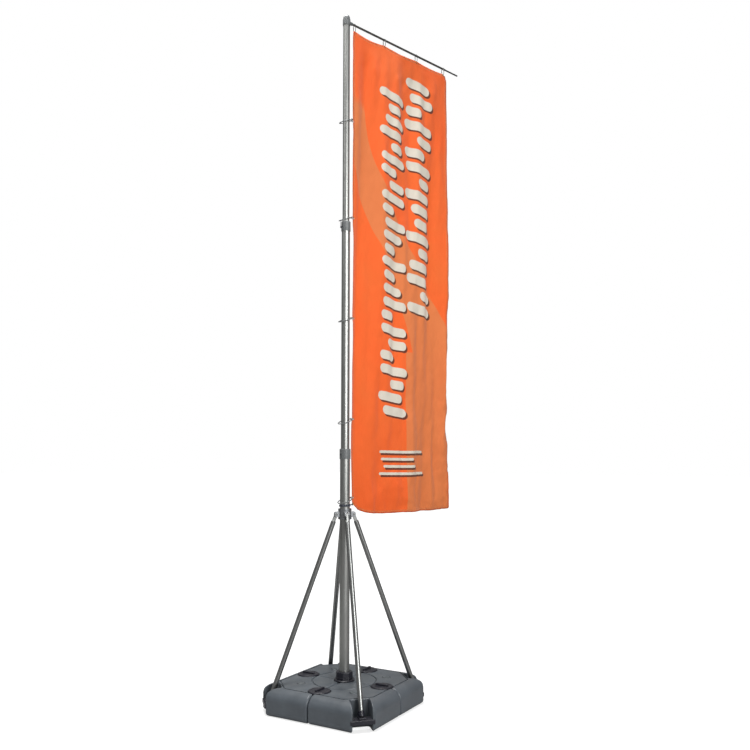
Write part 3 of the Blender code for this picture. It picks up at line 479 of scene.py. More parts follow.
@dataclass(frozen=True)
class PrintedCloth(Finish):
    """Knitted polyester, printed with tonal swooshes and two columns of slanting bars, with painted
    shade between the knit's loops.
    """

    width: float = 1.09
    length: float = 3.66
    ground: Ink = ink(0.76, 0.104, 0.014)
    swoosh: Ink = ink(0.59, 0.172, 0.052)
    pale: Ink = ink(0.60, 0.54, 0.45)
    shadow: Ink = ink(0.045, 0.018, 0.012)
    hem: Ink = ink(0.42, 0.075, 0.02)

    def bars(self, graph: Graph, across: object, up: object) -> bpy.types.NodeSocket:
        """Returns the mask of both columns of bars and of the small marks below them."""
        columns = (
            {"Middle": 0.425, "Start": 0.72, "Pitch": 0.104, "Count": 25.0, "Reach": 0.150,
             "Half_Width": 0.034, "Slope": 0.10, "Seed": 0.4},
            {"Middle": 0.745, "Start": 1.54, "Pitch": 0.116, "Count": 17.0, "Reach": 0.160,
             "Half_Width": 0.038, "Slope": 0.10, "Seed": 2.0},
            {"Middle": 0.52, "Start": 0.27, "Pitch": 0.055, "Count": 4.0, "Reach": 0.26,
             "Half_Width": 0.010, "Slope": 0.0, "Seed": 1.1})
        mask: object = 0.0
        for column in columns:
            made = graph.effect(Effect.BARS, Across=across, Up=up, **column)["Mask"]
            mask = graph.math("MAXIMUM", mask, made)
        return mask

    def swooshes(self, graph: Graph, across: object, up: object) -> bpy.types.NodeSocket:
        """Returns the mask of the broad swoosh that sweeps down the cloth."""
        fall = graph.math("DIVIDE", up, self.length)
        sweep = graph.node("MapRange", {0: fall, 1: 0.88, 2: 0.22, 3: 0.04, 4: 0.86},
                           interpolation_type="SMOOTHERSTEP").outputs[0]
        swell = graph.node("MapRange", {0: fall, 1: 0.86, 2: 0.30, 3: 0.10, 4: 0.27},
                           interpolation_type="SMOOTHSTEP").outputs[0]
        aside = graph.math("ABSOLUTE", graph.math("SUBTRACT", across, graph.math(
            "MULTIPLY", sweep, self.width)))
        broad = graph.math("MULTIPLY", graph.ramp(graph.math("SUBTRACT", aside, swell),
                                                  0.003, -0.003), graph.ramp(fall, 0.86, 0.84))
        block = graph.math("MULTIPLY", graph.ramp(across, 0.564, 0.568),
                           graph.ramp(fall, 0.34, 0.338))
        return graph.math("MAXIMUM", broad, block)

    def material(self) -> bpy.types.Material:
        """Returns the printed cloth's material."""
        material, graph, shader = self.begin()
        flat = graph.split(graph.place(Place.CLOTH))
        across = graph.math("MULTIPLY", flat[0], self.width)
        up = graph.math("MULTIPLY", flat[1], self.length)
        cloth = graph.node("CombineXYZ", {0: across, 1: up}).outputs[0]
        knit = graph.effect(Effect.KNIT, Across=across, Up=up, Pitch=0.0016)
        fade = graph.noise(cloth, 1.6, 4.0)
        ground = graph.mix(graph.ramp(fade, 0.35, 0.68), self.ground, ink(0.70, 0.118, 0.019))
        printed = graph.mix(graph.math("MULTIPLY", self.swooshes(graph, across, up), 0.85),
                            ground, self.swoosh)
        dropped = self.bars(graph, graph.math("SUBTRACT", across, 0.014),
                            graph.math("ADD", up, 0.016))
        printed = graph.mix(graph.math("MULTIPLY", dropped, 0.9), printed, self.shadow)
        pale = graph.mix(graph.noise(cloth, 45.0, 3.0), self.pale, ink(0.56, 0.53, 0.46))
        printed = graph.mix(self.bars(graph, across, up), printed, pale)
        sides = [across, graph.math("SUBTRACT", self.width, across), up,
                 graph.math("SUBTRACT", self.length, up)]
        edge = graph.math("MINIMUM", graph.math("MINIMUM", sides[0], sides[1]),
                          graph.math("MINIMUM", sides[2], sides[3]))
        along = graph.math("ADD", across, up)
        rows = [graph.effect(Effect.STITCH, Off=graph.math("SUBTRACT", edge, off), Along=along,
                             Pitch=0.007, Width=0.0011) for off in (0.0185, 0.0145)]
        doubled = graph.math("MULTIPLY", graph.ramp(edge, 0.0215, 0.0195), 0.55)
        printed = graph.mix(doubled, printed, self.hem)
        thread = graph.math("MAXIMUM", rows[0]["Thread"], rows[1]["Thread"])
        printed = graph.mix(graph.math("MULTIPLY", thread, 0.8), printed, ink(0.75, 0.30, 0.12))
        # Painted shade: the knit's height darkens the print in the hollows between loops, the same
        # height that drives the bump below.
        loops = graph.math("MULTIPLY_ADD", knit["Height"], 0.16, 0.88)
        print_with_knit_shade = graph.node("Mix", {0: 1.0, 6: printed, 7: graph.node(
            "CombineColor", {0: loops, 1: loops, 2: loops}).outputs[0]},
            data_type="RGBA", blend_type="MULTIPLY").outputs[2]
        graph.feed(shader.inputs["Base Color"], print_with_knit_shade)
        graph.feed(shader.inputs["Roughness"], graph.ramp(fade, 0.0, 1.0, 0.72, 0.88))
        creases = graph.noise(graph.stretch(cloth, (1.0, 0.35, 1.0)), 9.0, 5.0, 0.6)
        soft = graph.bump(creases, 0.010, 0.35)
        pucker = graph.bump(graph.math("MINIMUM", rows[0]["Pucker"], rows[1]["Pucker"]), 0.0012,
                            0.6, soft)
        graph.feed(shader.inputs["Normal"], graph.bump(knit["Height"], 0.0003, 0.35, pucker))
        shader.inputs["Sheen Weight"].default_value = 0.12
        shader.inputs["Specular IOR Level"].default_value = 0.25
        return material


SLATE = MouldedPlastic("slate_polyethylene", "slate_plastic", colour=ink(0.088, 0.102, 0.117),
                       rubbed=ink(0.22, 0.24, 0.25), roughness=0.36, dust=0.16)
SLATE_CAP = MouldedPlastic("slate_cap", "slate_plastic", colour=ink(0.098, 0.112, 0.120),
                           rubbed=ink(0.22, 0.24, 0.25), roughness=0.34, dust=0.12)
BLACK = MouldedPlastic("black_nylon", "black_plastic", colour=ink(0.012, 0.012, 0.020),
                       rubbed=ink(0.10, 0.10, 0.11), roughness=0.40, dust=0.10,
                       grain_scale=900.0, grain_depth=0.0002)
GREY = MouldedPlastic("grey_nylon", "grey_plastic", colour=ink(0.14, 0.148, 0.15),
                      rubbed=ink(0.34, 0.35, 0.35), roughness=0.42, dust=0.12,
                      grain_scale=900.0, grain_depth=0.0002)
ANODISED = DrawnMetal("anodised_tube", "aluminium", place=Place.OWN,
                      colour=ink(0.37, 0.375, 0.36), shade=ink(0.29, 0.295, 0.285))
BRACE = DrawnMetal("brace_tube", "aluminium", place=Place.OWN,
                   colour=ink(0.30, 0.305, 0.30), shade=ink(0.21, 0.215, 0.21), roughness=0.34)
DARK_TUBE = DrawnMetal("dark_anodised_tube", "aluminium", place=Place.OWN,
                       colour=ink(0.24, 0.24, 0.225), shade=ink(0.13, 0.13, 0.125),
                       roughness=0.38)
CASTING = PlatedMetal("cast_alloy", "cast_metal", colour=ink(0.26, 0.27, 0.28),
                      bright=ink(0.55, 0.56, 0.57), roughness=0.48, grain_depth=0.0006)
STEEL = PlatedMetal("dark_plated_steel", "dark_steel", colour=ink(0.17, 0.17, 0.165),
                    bright=ink(0.5, 0.5, 0.48), roughness=0.36)
BRASS = PlatedMetal("worn_brass", "dark_steel", colour=ink(0.62, 0.42, 0.16),
                    bright=ink(0.85, 0.68, 0.36), roughness=0.30)
CORD = BraidedCord("tie_cord", "dark_cord", Place.CLOTH)
# the pale cord's light colour is the painted highlight on its strand crowns
PALE_CORD = BraidedCord("pale_cord", "dark_cord", Place.CLOTH, colour=ink(0.42, 0.43, 0.44),
                        light=ink(0.68, 0.69, 0.70))
WATER = StillWater("still_water", "water")
CLOTH = PrintedCloth("printed_banner", "banner_cloth", Place.CLOTH)


# ------------------------------------------------------------------ shaping

def turned(outline: Sequence[Point2], steps: int = 64, soften: float = 0.0,
           closed: bool = False) -> bmesh.types.BMesh:
    """Spins an outline about the Z axis.

    Args:
        outline: (radius, height) points, from one end of the form to the other.
        steps: how many facets go round.
        soften: radius that rounds the outline's corners, or 0.
        closed: whether the outline joins up with itself, as round a bore.

    Returns:
        The turned mesh, its faces pointing outwards.
    """
    bm = bmesh.new()
    verts = [bm.verts.new((radius, 0.0, height)) for radius, height in outline]
    for first, second in zip(verts, verts[1:]):
        bm.edges.new((first, second))
    if closed:
        bm.edges.new((verts[-1], verts[0]))
    if soften:
        inner = [vert for vert in bm.verts if len(vert.link_edges) == 2 and vert.co.x > 1e-6]
        bmesh.ops.bevel(bm, geom=inner, offset=soften, segments=3, profile=0.5,
                        affect="VERTICES", clamp_overlap=True, material=-1)
    bmesh.ops.spin(bm, geom=bm.verts[:] + bm.edges[:], cent=(0, 0, 0), axis=(0, 0, 1),
                   angle=math.tau, steps=steps, use_merge=True, use_duplicate=False)
    bmesh.ops.remove_doubles(bm, verts=bm.verts, dist=1e-6)
    bmesh.ops.recalc_face_normals(bm, faces=bm.faces)
    return bm


def slab(low: Sequence[float], high: Sequence[float], soften: float = 0.0,
         facets: int = 3) -> bmesh.types.BMesh:
    """Returns a box between two corners, its edges rounded by soften."""
    low, high = Vector(low), Vector(high)
    bm = bmesh.new()
    bmesh.ops.create_cube(bm, size=1.0)
    bmesh.ops.scale(bm, vec=high - low, verts=bm.verts)
    bmesh.ops.translate(bm, vec=(low + high) / 2, verts=bm.verts)
    if soften:
        eased(bm, bm.edges, soften, facets, True)
    return bm


def prism(radius: float, low: float, high: float, sides: int = 6,
          soften: float = 0.0) -> bmesh.types.BMesh:
    """Returns an upright prism on the Z axis, such as a bolt's head, softened all round."""
    bm = bmesh.new()
    bmesh.ops.create_cone(bm, cap_ends=True, segments=sides, radius1=radius, radius2=radius,
                          depth=high - low)
    bmesh.ops.translate(bm, vec=(0, 0, (low + high) / 2), verts=bm.verts)
    if soften:
        eased(bm, bm.edges, soften, 2, True)
    return bm


def moved(bm: bmesh.types.BMesh, matrix: Matrix) -> bmesh.types.BMesh:
    """Returns the mesh after moving it by a matrix."""
    bmesh.ops.transform(bm, matrix=matrix, verts=bm.verts)
    return bm


def shift(x: float = 0.0, y: float = 0.0, z: float = 0.0) -> Matrix:
    """Returns a move."""
    return Matrix.Translation((x, y, z))


def turn(angle: float, axis: str = "Z") -> Matrix:
    """Returns a turn about an axis, in radians."""
    return Matrix.Rotation(angle, 4, axis)


def gather(*parts: bmesh.types.BMesh) -> bmesh.types.BMesh:
    """Puts several meshes into one and frees them."""
    whole = bmesh.new()
    for part in parts:
        mesh = bpy.data.meshes.new("part")
        part.to_mesh(mesh)
        part.free()
        whole.from_mesh(mesh)
        bpy.data.meshes.remove(mesh)
    return whole


def stood(name: str, data: bpy.types.ID) -> bpy.types.Object:
    """Returns a new object in the scene that holds the data."""
    obj = bpy.data.objects.new(name, data)
    bpy.context.scene.collection.objects.link(obj)
    return obj


def as_object(bm: bmesh.types.BMesh, name: str) -> bpy.types.Object:
    """Returns a scratch object that holds the mesh."""
    mesh = bpy.data.meshes.new(name)
    bm.to_mesh(mesh)
    bm.free()
    return stood(name, mesh)


def evaluated(obj: bpy.types.Object) -> bmesh.types.BMesh:
    """Returns an object's mesh with its modifiers applied, and removes the object."""
    bpy.context.view_layer.update()
    mesh = bpy.data.meshes.new_from_object(
        obj.evaluated_get(bpy.context.evaluated_depsgraph_get()))
    bm = bmesh.new()
    bm.from_mesh(mesh)
    bpy.data.objects.remove(obj)
    bpy.data.meshes.remove(mesh)
    return bm


def carved(bm: bmesh.types.BMesh, cutters: Iterable[bmesh.types.BMesh],
           operation: str = "DIFFERENCE") -> bmesh.types.BMesh:
    """Cuts meshes from another, or joins them to it.

    Args:
        bm: the mesh to work on.
        cutters: the meshes to cut away or to join.
        operation: the Boolean modifier's operation.

    Returns:
        The result; what went in is freed.
    """
    base = as_object(bm, "base")
    tools = [as_object(cutter, "cutter") for cutter in cutters]
    for tool in tools:
        modifier = base.modifiers.new("cut", "BOOLEAN")
        modifier.operation = operation
        modifier.solver = "EXACT"
        modifier.object = tool
    result = evaluated(base)
    for tool in tools:
        bpy.data.objects.remove(tool)
    bmesh.ops.remove_doubles(result, verts=result.verts[:], dist=SAME_POINT)
    return result


def eased(bm: bmesh.types.BMesh, edges: Iterable[bmesh.types.BMEdge], width: float,
          facets: int, clamp: bool = False) -> bmesh.types.BMesh:
    """Rounds the given edges by a width, or cuts them flat with one facet.

    Args:
        bm: the mesh to work on.
        edges: the edges to round.
        width: how far in from an edge the rounding starts.
        facets: how many facets the rounding has.
        clamp: whether the rounding stops where it would meet another.

    Returns:
        The same mesh.
    """
    bmesh.ops.bevel(bm, geom=list(edges), offset=width, segments=facets, profile=0.5,
                    affect="EDGES", clamp_overlap=clamp, material=-1)
    return bm


def soft_edges(bm: bmesh.types.BMesh, width: float, angle: float = 40.0, facets: int = 2,
               clamp: bool = True) -> bmesh.types.BMesh:
    """Rounds every edge that turns by more than an angle.

    Args:
        bm: the mesh to work on.
        width: how far in from an edge the rounding starts.
        angle: the least turn that counts as an edge, in degrees.
        facets: how many facets the rounding has.
        clamp: whether the rounding stops where it would meet another.

    Returns:
        The same mesh.
    """
    sharp = [edge for edge in bm.edges
             if len(edge.link_faces) == 2 and edge.calc_face_angle() > math.radians(angle)]
    return eased(bm, sharp, width, facets, clamp)


def wire(points: Sequence[Sequence[float]], radius: float, closed: bool = False,
         facets: int = 3) -> bmesh.types.BMesh:
    """Bends a round wire or cord through points.

    Args:
        points: the line that it follows.
        radius: its radius.
        closed: whether its ends join.
        facets: how finely its section is rounded.

    Returns:
        Its mesh, with a map of the way round and the way along in metres.
    """
    curve = bpy.data.curves.new("wire", "CURVE")
    curve.dimensions = "3D"
    curve.bevel_depth = radius
    curve.bevel_resolution = facets
    curve.use_fill_caps = not closed
    spline = curve.splines.new("POLY")
    spline.points.add(len(points) - 1)
    for spot, point in zip(spline.points, points):
        spot.co = (*point, 1.0)
    spline.use_cyclic_u = closed
    bm = evaluated(stood("wire", curve))
    length = sum((Vector(a) - Vector(b)).length for a, b in zip(points, points[1:]))
    for layer in bm.loops.layers.uv.values():
        for face in bm.faces:
            for loop in face.loops:
                along, around = loop[layer].uv
                loop[layer].uv = (around, along * length)
    return bm


class Workshop:
    """Turns meshes into finished pieces that ride on the frame's bodies."""

    def __init__(self) -> None:
        """Starts with no material made."""
        self.materials: dict[str, bpy.types.Material] = {}

    def material(self, finish: Finish) -> bpy.types.Material:
        """Returns a finish's material, made the first time it is asked for."""
        if finish.name not in self.materials:
            self.materials[finish.name] = finish.material()
        return self.materials[finish.name]

    def add(self, name: str, bm: bmesh.types.BMesh, finish: Finish, body: str,
            place: Matrix | None = None, stands_for: Sequence[str] = (),
            crease: float = 34.0) -> bpy.types.Object:
        """Makes a finished piece.

        Args:
            name: the piece's name.
            bm: its mesh, drawn at the origin.
            finish: what it is made of.
            body: the body of the frame that it moves with.
            place: where it goes; nowhere else if left out.
            stands_for: the CAD nodes that it replaces.
            crease: the angle past which an edge shows as sharp, in degrees.

        Returns:
            The piece.
        """
        own = bm.verts.layers.float_vector.new(Place.OWN.value)
        for vert in bm.verts:
            vert[own] = vert.co
        maps = bm.loops.layers.uv.values()
        if maps and maps[0].name != Place.CLOTH.value:
            copy = bm.loops.layers.uv.new(Place.CLOTH.value)
            for face in bm.faces:
                for loop in face.loops:
                    loop[copy].uv = loop[maps[0]].uv
        if place is not None:
            moved(bm, place)
        mesh = bpy.data.meshes.new(name)
        bm.to_mesh(mesh)
        bm.free()
        mesh.shade_smooth()
        mesh.set_sharp_from_angle(angle=math.radians(crease))
        mesh.materials.append(self.material(finish))
        obj = stood(name, mesh)
        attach(obj, body)
        if finish.place is not Place.CLOTH:
            even = obj.modifiers.new("even_shading", "WEIGHTED_NORMAL")
            even.keep_sharp = True
        if stands_for:
            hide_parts(*stands_for)
        LOG.info("%s: %d faces, on %s", name, len(mesh.polygons), body)
        return obj

    def dress(self, node: str, finish: Finish) -> None:
        """Gives a carried-over CAD node its finish."""
        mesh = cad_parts[node].data
        mesh.materials.clear()
        mesh.materials.append(self.material(finish))
        LOG.info("%s: CAD node dressed", node)


# ------------------------------------------------------------------ base

@dataclass(frozen=True)
class Base:
    """The four quarter tanks, their links and caps, the mast socket and the brackets."""

    half_side: float = 0.445
    height: float = 0.175
    shoulder: float = 0.075
    heel: float = 0.032
    seam: float = 0.002
    seam_lip: float = 0.015
    notch_start: float = 0.440325
    notch_half: float = 0.065
    notch_round: float = 0.014
    lobe_round: float = 0.034
    cap_distance: float = 0.300325
    cap_radius: float = 0.026
    cap_seat: float = 0.1673
    link_distance: float = 0.300
    link_radius: float = 0.075
    link_seat: float = 0.1633
    link_top: float = 0.1813
    bracket_low: float = 0.047
    bracket_top: float = 0.075

    def well(self, radius: float, floor: float, lip: float = 0.003) -> bmesh.types.BMesh:
        """Returns the cutter of a round recess whose top edge flares out by lip."""
        top = self.height
        return turned([(0, floor), (radius, floor), (radius, top - lip),
                       (radius + lip * 0.3, top - lip * 0.3), (radius + lip, top + 0.0005),
                       (radius + lip, top + 0.03), (0, top + 0.03)], 96)

    def ring_groove(self, radius: float, half: float, depth: float) -> bmesh.types.BMesh:
        """Returns the cutter of a round groove in the top."""
        top = self.height
        return turned([(radius - half, top - depth), (radius + half, top - depth),
                       (radius + half * 2, top + 0.001), (radius + half * 2, top + 0.02),
                       (radius - half * 2, top + 0.02), (radius - half * 2, top + 0.001)],
                      96, closed=True)

    def eight_sided(self, half: float, low: float, high: float) -> bmesh.types.BMesh:
        """Returns a block with four long sides and four cut corners."""
        bm = slab((-half, -half, low), (half, half, high))
        upright = [edge for edge in bm.edges
                   if abs(edge.verts[0].co.z - edge.verts[1].co.z) > 0.001]
        return eased(bm, upright, half * 0.36, 1)

    def panel_groove(self, half: float, depth: float) -> bmesh.types.BMesh:
        """Returns the cutter of the eight-sided groove round the flat top."""
        low, high = self.height - depth, self.height + 0.02
        return carved(self.eight_sided(half + 0.0046, low, high),
                      [self.eight_sided(half - 0.0046, low - 0.01, high + 0.01)])

    def quarter(self) -> bmesh.types.BMesh:
        """Returns the tank between +X and +Y."""
        near, far, top = self.seam, self.half_side, self.height
        block = slab((near, near, 0), (far, far, top))

        def outer(edge: bmesh.types.BMEdge, height: float) -> bool:
            """Tells whether an edge lies along the outside at a height."""
            ends = [vert.co for vert in edge.verts]
            return (all(abs(end.z - height) < 1e-5 for end in ends)
                    and any(all(abs(end[axis] - far) < 1e-5 for end in ends)
                            for axis in (0, 1)))

        for height, radius, facets in ((top, self.shoulder, 18), (0.0, self.heel, 6)):
            eased(block, [edge for edge in block.edges if outer(edge, height)], radius, facets)
        lips = {edge for face in block.faces for edge in face.edges
                if any(all(abs(vert.co[axis] - near) < 1e-5 for vert in face.verts)
                       for axis in (0, 1))}
        eased(block, lips, self.seam_lip, 4)
        outline = carved(slab((-0.1, -0.1, -0.05), (far - 0.0002, far - 0.0002, top + 0.05)),
                         [moved(slab((self.notch_start, -self.notch_half, -0.1),
                                     (0.9, self.notch_half, top + 0.1)), turn(math.pi / 4))])
        for start, end, radius in ((self.notch_start + 0.03, 1.0, self.lobe_round),
                                   (self.notch_start - 0.001, self.notch_start + 0.001,
                                    self.notch_round)):
            corners = [edge for edge in outline.edges
                       if abs(edge.verts[0].co.z - edge.verts[1].co.z) > 0.1
                       and start < (turn(-math.pi / 4) @ edge.verts[0].co).x < end]
            eased(outline, corners, radius, 8)
        block = soft_edges(carved(block, [outline], "INTERSECT"), 0.008, 30.0, 4, False)
        cap = Vector((self.cap_distance, 0, 0)) @ turn(-math.pi / 4).to_3x3()
        cap_place = shift(cap.x, cap.y)
        cutters = [self.panel_groove(0.3695, 0.0080), self.ring_groove(0.220, 0.0034, 0.0065),
                   moved(self.well(self.cap_radius + 0.003, self.cap_seat), cap_place),
                   moved(self.well(0.0195, 0.150), cap_place),
                   self.well(0.0505, -0.02, 0.001)]
        for spot in (shift(self.link_distance), shift(0, self.link_distance)):
            cutters.append(moved(self.well(self.link_radius + 0.0025, self.link_seat - 0.0003),
                                 spot))
            cutters.append(moved(self.well(0.031, 0.139), spot))
        return carved(block, cutters)

    def water(self) -> bmesh.types.BMesh:
        """Returns the water in a tank, well inside its walls and clear of its recesses."""
        near, far = self.seam + 0.014, self.half_side - self.heel
        block = slab((near, near, 0.012), (far, far, 0.135))
        notch = slab((self.notch_start - 0.015, -self.notch_half - 0.015, -0.1),
                     (0.9, self.notch_half + 0.015, 0.3))
        return soft_edges(carved(block, [moved(notch, turn(math.pi / 4)),
                                         self.well(0.065, -0.02)]), 0.008)

    def cap(self) -> bmesh.types.BMesh:
        """Returns a filler cap: plug, knurled rim, dished top and grip."""
        seat, top, radius = self.cap_seat, 0.1773, self.cap_radius
        parts = [turned([(0, seat - 0.014), (0.017, seat - 0.014), (0.0185, seat - 0.012),
                         (0.0185, seat), (radius - 0.0015, seat), (radius - 0.0008, seat + 0.001),
                         (radius - 0.0008, top - 0.003), (radius - 0.003, top - 0.0006),
                         (radius - 0.006, top), (radius - 0.008, top - 0.0012),
                         (0.004, top - 0.0025), (0, top - 0.0025)], 64),
                 slab((-0.016, -0.0022, top - 0.004), (0.016, 0.0022, top), 0.0012)]
        for index in range(30):
            rib = slab((radius - 0.002, -0.0011, seat + 0.001), (radius, 0.0011, top - 0.0025),
                       0.0005, 2)
            parts.append(moved(rib, turn(index * math.tau / 30)))
        return gather(*parts)

    def link(self) -> bmesh.types.BMesh:
        """Returns a link: boss, rounded disc with a ring valley, and the grip across it."""
        seat, top, radius = self.link_seat, self.link_top, self.link_radius
        outline = [(0, seat - 0.022), (0.027, seat - 0.022), (0.030, seat - 0.019),
                   (0.030, seat), (radius - 0.0035, seat), (radius - 0.001, seat + 0.002),
                   (radius, seat + 0.005), (radius, top - 0.0065), (radius - 0.0015, top - 0.003),
                   (radius - 0.0045, top - 0.0008), (radius - 0.009, top), (0.060, top),
                   (0.0585, top - 0.0012), (0.054, top - 0.0018), (0.0495, top - 0.0012),
                   (0.048, top), (0.026, top), (0.0245, top - 0.001), (0, top - 0.001)]
        grip = slab((-0.048, -0.0088, top - 0.004), (0.048, 0.0088, top + 0.012), 0.0045, 5)
        pad = slab((-0.038, -0.0042, top + 0.006), (0.038, 0.0042, top + 0.0127), 0.0010, 2)
        parts = [turned(outline, 96), grip, pad]
        for index in range(36):
            rib = slab((radius - 0.003, -0.0014, seat + 0.0045), (radius + 0.001, 0.0014,
                                                                top - 0.0065), 0.0006, 2)
            parts.append(moved(rib, turn(index * math.tau / 36)))
        return gather(*parts)

    def socket(self) -> bmesh.types.BMesh:
        """Returns the mast socket: body, flange with bolts, and eight-sided collar."""
        low, flange, top = 0.1753, 0.1853, 0.237
        body = turned([(0.0385, 0), (0.048, 0), (0.050, 0.002), (0.050, low), (0.070, low),
                       (0.072, low + 0.002), (0.072, flange - 0.003), (0.0695, flange - 0.0006),
                       (0.067, flange), (0.0353, flange), (0.0353, 0.020), (0, 0.020),
                       (0, 0)], 96)
        collar = prism(0.059, flange - 0.002, top, 8)
        rim = [edge for edge in collar.edges if all(vert.co.z > top - 1e-5
                                                    for vert in edge.verts)]
        eased(collar, rim, 0.007, 2)
        corners = [edge for edge in collar.edges
                   if abs(edge.verts[0].co.z - edge.verts[1].co.z) > 0.02]
        eased(collar, corners, 0.003, 3)
        bore = turned([(0, 0.1), (0.0353, 0.1), (0.0353, top - 0.0025), (0.0378, top + 0.001),
                       (0.0378, 0.3), (0, 0.3)], 96)
        belt = turned([(0.0565, 0.197), (0.0602, 0.198), (0.0602, 0.2), (0.0565, 0.201)], 8,
                      closed=True)
        collar = carved(moved(collar, turn(math.pi / 8)), [bore])
        parts = [body, collar, carved(moved(belt, turn(math.pi / 8)), [turned(
            [(0, 0.1), (0.0353, 0.1), (0.0353, 0.3), (0, 0.3)], 48)])]
        for index in range(8):
            bolt = prism(0.0042, flange - 0.001, flange + 0.003, 6, 0.0005)
            parts.append(moved(moved(bolt, shift(0.0655)), turn(index * math.tau / 8)))
        return gather(*parts)

    def bracket(self) -> bmesh.types.BMesh:
        """Returns a bracket bar across a notch, with a rib under it and two bolts."""
        low, top, wide = self.bracket_low, self.bracket_top, 0.080
        parts = [slab((0.4778, -wide, low), (0.5528, wide, top), 0.004, 4)]
        for side in (-1, 1):
            spot = shift(0.515, side * 0.046)
            parts.append(moved(turned([(0, top - 0.001), (0.0095, top - 0.001),
                                       (0.0095, top + 0.0008), (0.008, top + 0.0014),
                                       (0, top + 0.0014)], 32), spot))
            parts.append(moved(prism(0.0065, top, top + 0.0055, 6, 0.0007), spot))
        return gather(*parts)

    def build(self, shop: Workshop) -> None:
        """Makes the base's pieces, four of each.

        Args:
            shop: the workshop that finishes them.
        """
        quarter = self.quarter()
        cap, link, bracket, water = self.cap(), self.link(), self.bracket(), self.water()
        for index, (corner, side) in enumerate(zip(CORNERS, SIDES)):
            straight = turn(math.pi / 2 * index)
            diagonal = turn(math.pi / 2 * index + math.pi / 4)
            shop.add("tank_shell_" + corner, quarter.copy(), SLATE, "root", straight,
                     ["tank_" + corner], 38.0)
            shop.add("screw_cap_" + corner, cap.copy(), SLATE_CAP, "filler_cap_" + corner,
                     diagonal @ shift(self.cap_distance) @ turn(0.6 + index),
                     ["filler_cap_" + corner])
            shop.add("link_disc_" + side, link.copy(), BLACK, "link_" + side,
                     straight @ shift(self.link_distance), ["link_" + side])
            shop.add("bracket_bar_" + corner, bracket.copy(), BLACK, "root", diagonal,
                     ["strut_bracket_" + corner])
            shop.add("ballast_" + corner, water.copy(), WATER, "root", straight,
                     ["water_" + corner])
        shop.add("socket_cup", self.socket(), BLACK, "root", None, ["mast_socket"])
        for mesh in (quarter, cap, link, bracket, water):
            mesh.free()


# ------------------------------------------------------------------ mast and braces

@dataclass(frozen=True)
class Stage:
    """One length of the mast and the collar at its top."""

    name: str
    body: str
    radius: float
    low: float
    high: float
    inner: float | None = None
    wall: float = 0.002
    button_drop: float = 0.030

    def tube(self) -> bmesh.types.BMesh:
        """Returns the tube, its ends eased."""
        out, bore, ease = self.radius, self.radius - self.wall, 0.0006
        return turned([(out, self.low + ease), (out, self.high - ease),
                       (out - ease, self.high), (bore + ease, self.high),
                       (bore, self.high - ease), (bore, self.low + ease),
                       (bore + ease, self.low), (out - ease, self.low)], 96, closed=True)

    def collar(self) -> bmesh.types.BMesh:
        """Returns the collar: skirt with two grooves and a flange, rolled over at the top."""
        out, skin, end = self.radius + 0.004, self.radius + 0.0003, self.high
        outline = [(skin, end - 0.060), (out - 0.0012, end - 0.060), (out - 0.0003, end - 0.0592),
                   (out, end - 0.0575)]
        for level in (0.049, 0.044, 0.014):
            outline += [(out, end - level), (out - 0.0009, end - level + 0.0009),
                        (out - 0.0009, end - level + 0.0018), (out, end - level + 0.0027)]
        outline += [(out, end + 0.0065), (out - 0.0008, end + 0.0092), (out - 0.0025, end + 0.0108),
                    (out - 0.0045, end + 0.0113), (self.inner + 0.0016, end + 0.0113),
                    (self.inner + 0.0005, end + 0.0100), (self.inner + 0.0005, end + 0.0003),
                    (skin, end + 0.0003)]
        bm = turned(outline, 96, closed=True)
        clamps = []
        for angle in (0.9, -0.9):
            screw = prism(0.0032, 0.0, 0.0016, 12, 0.0004)
            moved(screw, shift(out - 0.0012) @ turn(math.pi / 2, "Y"))
            clamps.append(moved(moved(screw, turn(angle)), shift(0, 0, end - 0.031)))
        return gather(bm, *clamps)

    def drilled(self, bm: bmesh.types.BMesh) -> bmesh.types.BMesh:
        """Returns a tube or a collar with the lock button's hole drilled through its +X side."""
        drill = turned([(0, 0.005), (0.0053, 0.005), (0.0053, 0.06), (0, 0.06)], 32)
        return carved(bm, [moved(drill, shift(0, 0, self.high - self.button_drop)
                                 @ turn(math.pi / 2, "Y"))])

    def button(self) -> bmesh.types.BMesh:
        """Returns the domed lock button, pointing along +X."""
        tip, back = self.radius + 0.0062, self.radius - 0.0016
        bm = turned([(0, back), (0.0047, back), (0.0047, tip - 0.0022), (0.0043, tip - 0.001),
                     (0.003, tip - 0.0002), (0, tip)], 32)
        return moved(bm, shift(0, 0, self.high - self.button_drop) @ turn(math.pi / 2, "Y"))

    def build(self, shop: Workshop) -> None:
        """Makes the stage's pieces.

        Args:
            shop: the workshop that finishes them.
        """
        away = turn(HEAD_YAW + math.pi)
        tube = self.tube() if self.inner is None else self.drilled(self.tube())
        shop.add(self.name + "_length", tube, ANODISED, self.body, away, [self.name + "_tube"])
        if self.inner is None:
            return
        shop.add(self.name + "_clamp", self.drilled(self.collar()), GREY, self.body, away,
                 [self.name + "_collar"])
        shop.add(self.name + "_button", self.button(), BLACK, self.name + "_lock_button", away,
                 [self.name + "_lock_button"])


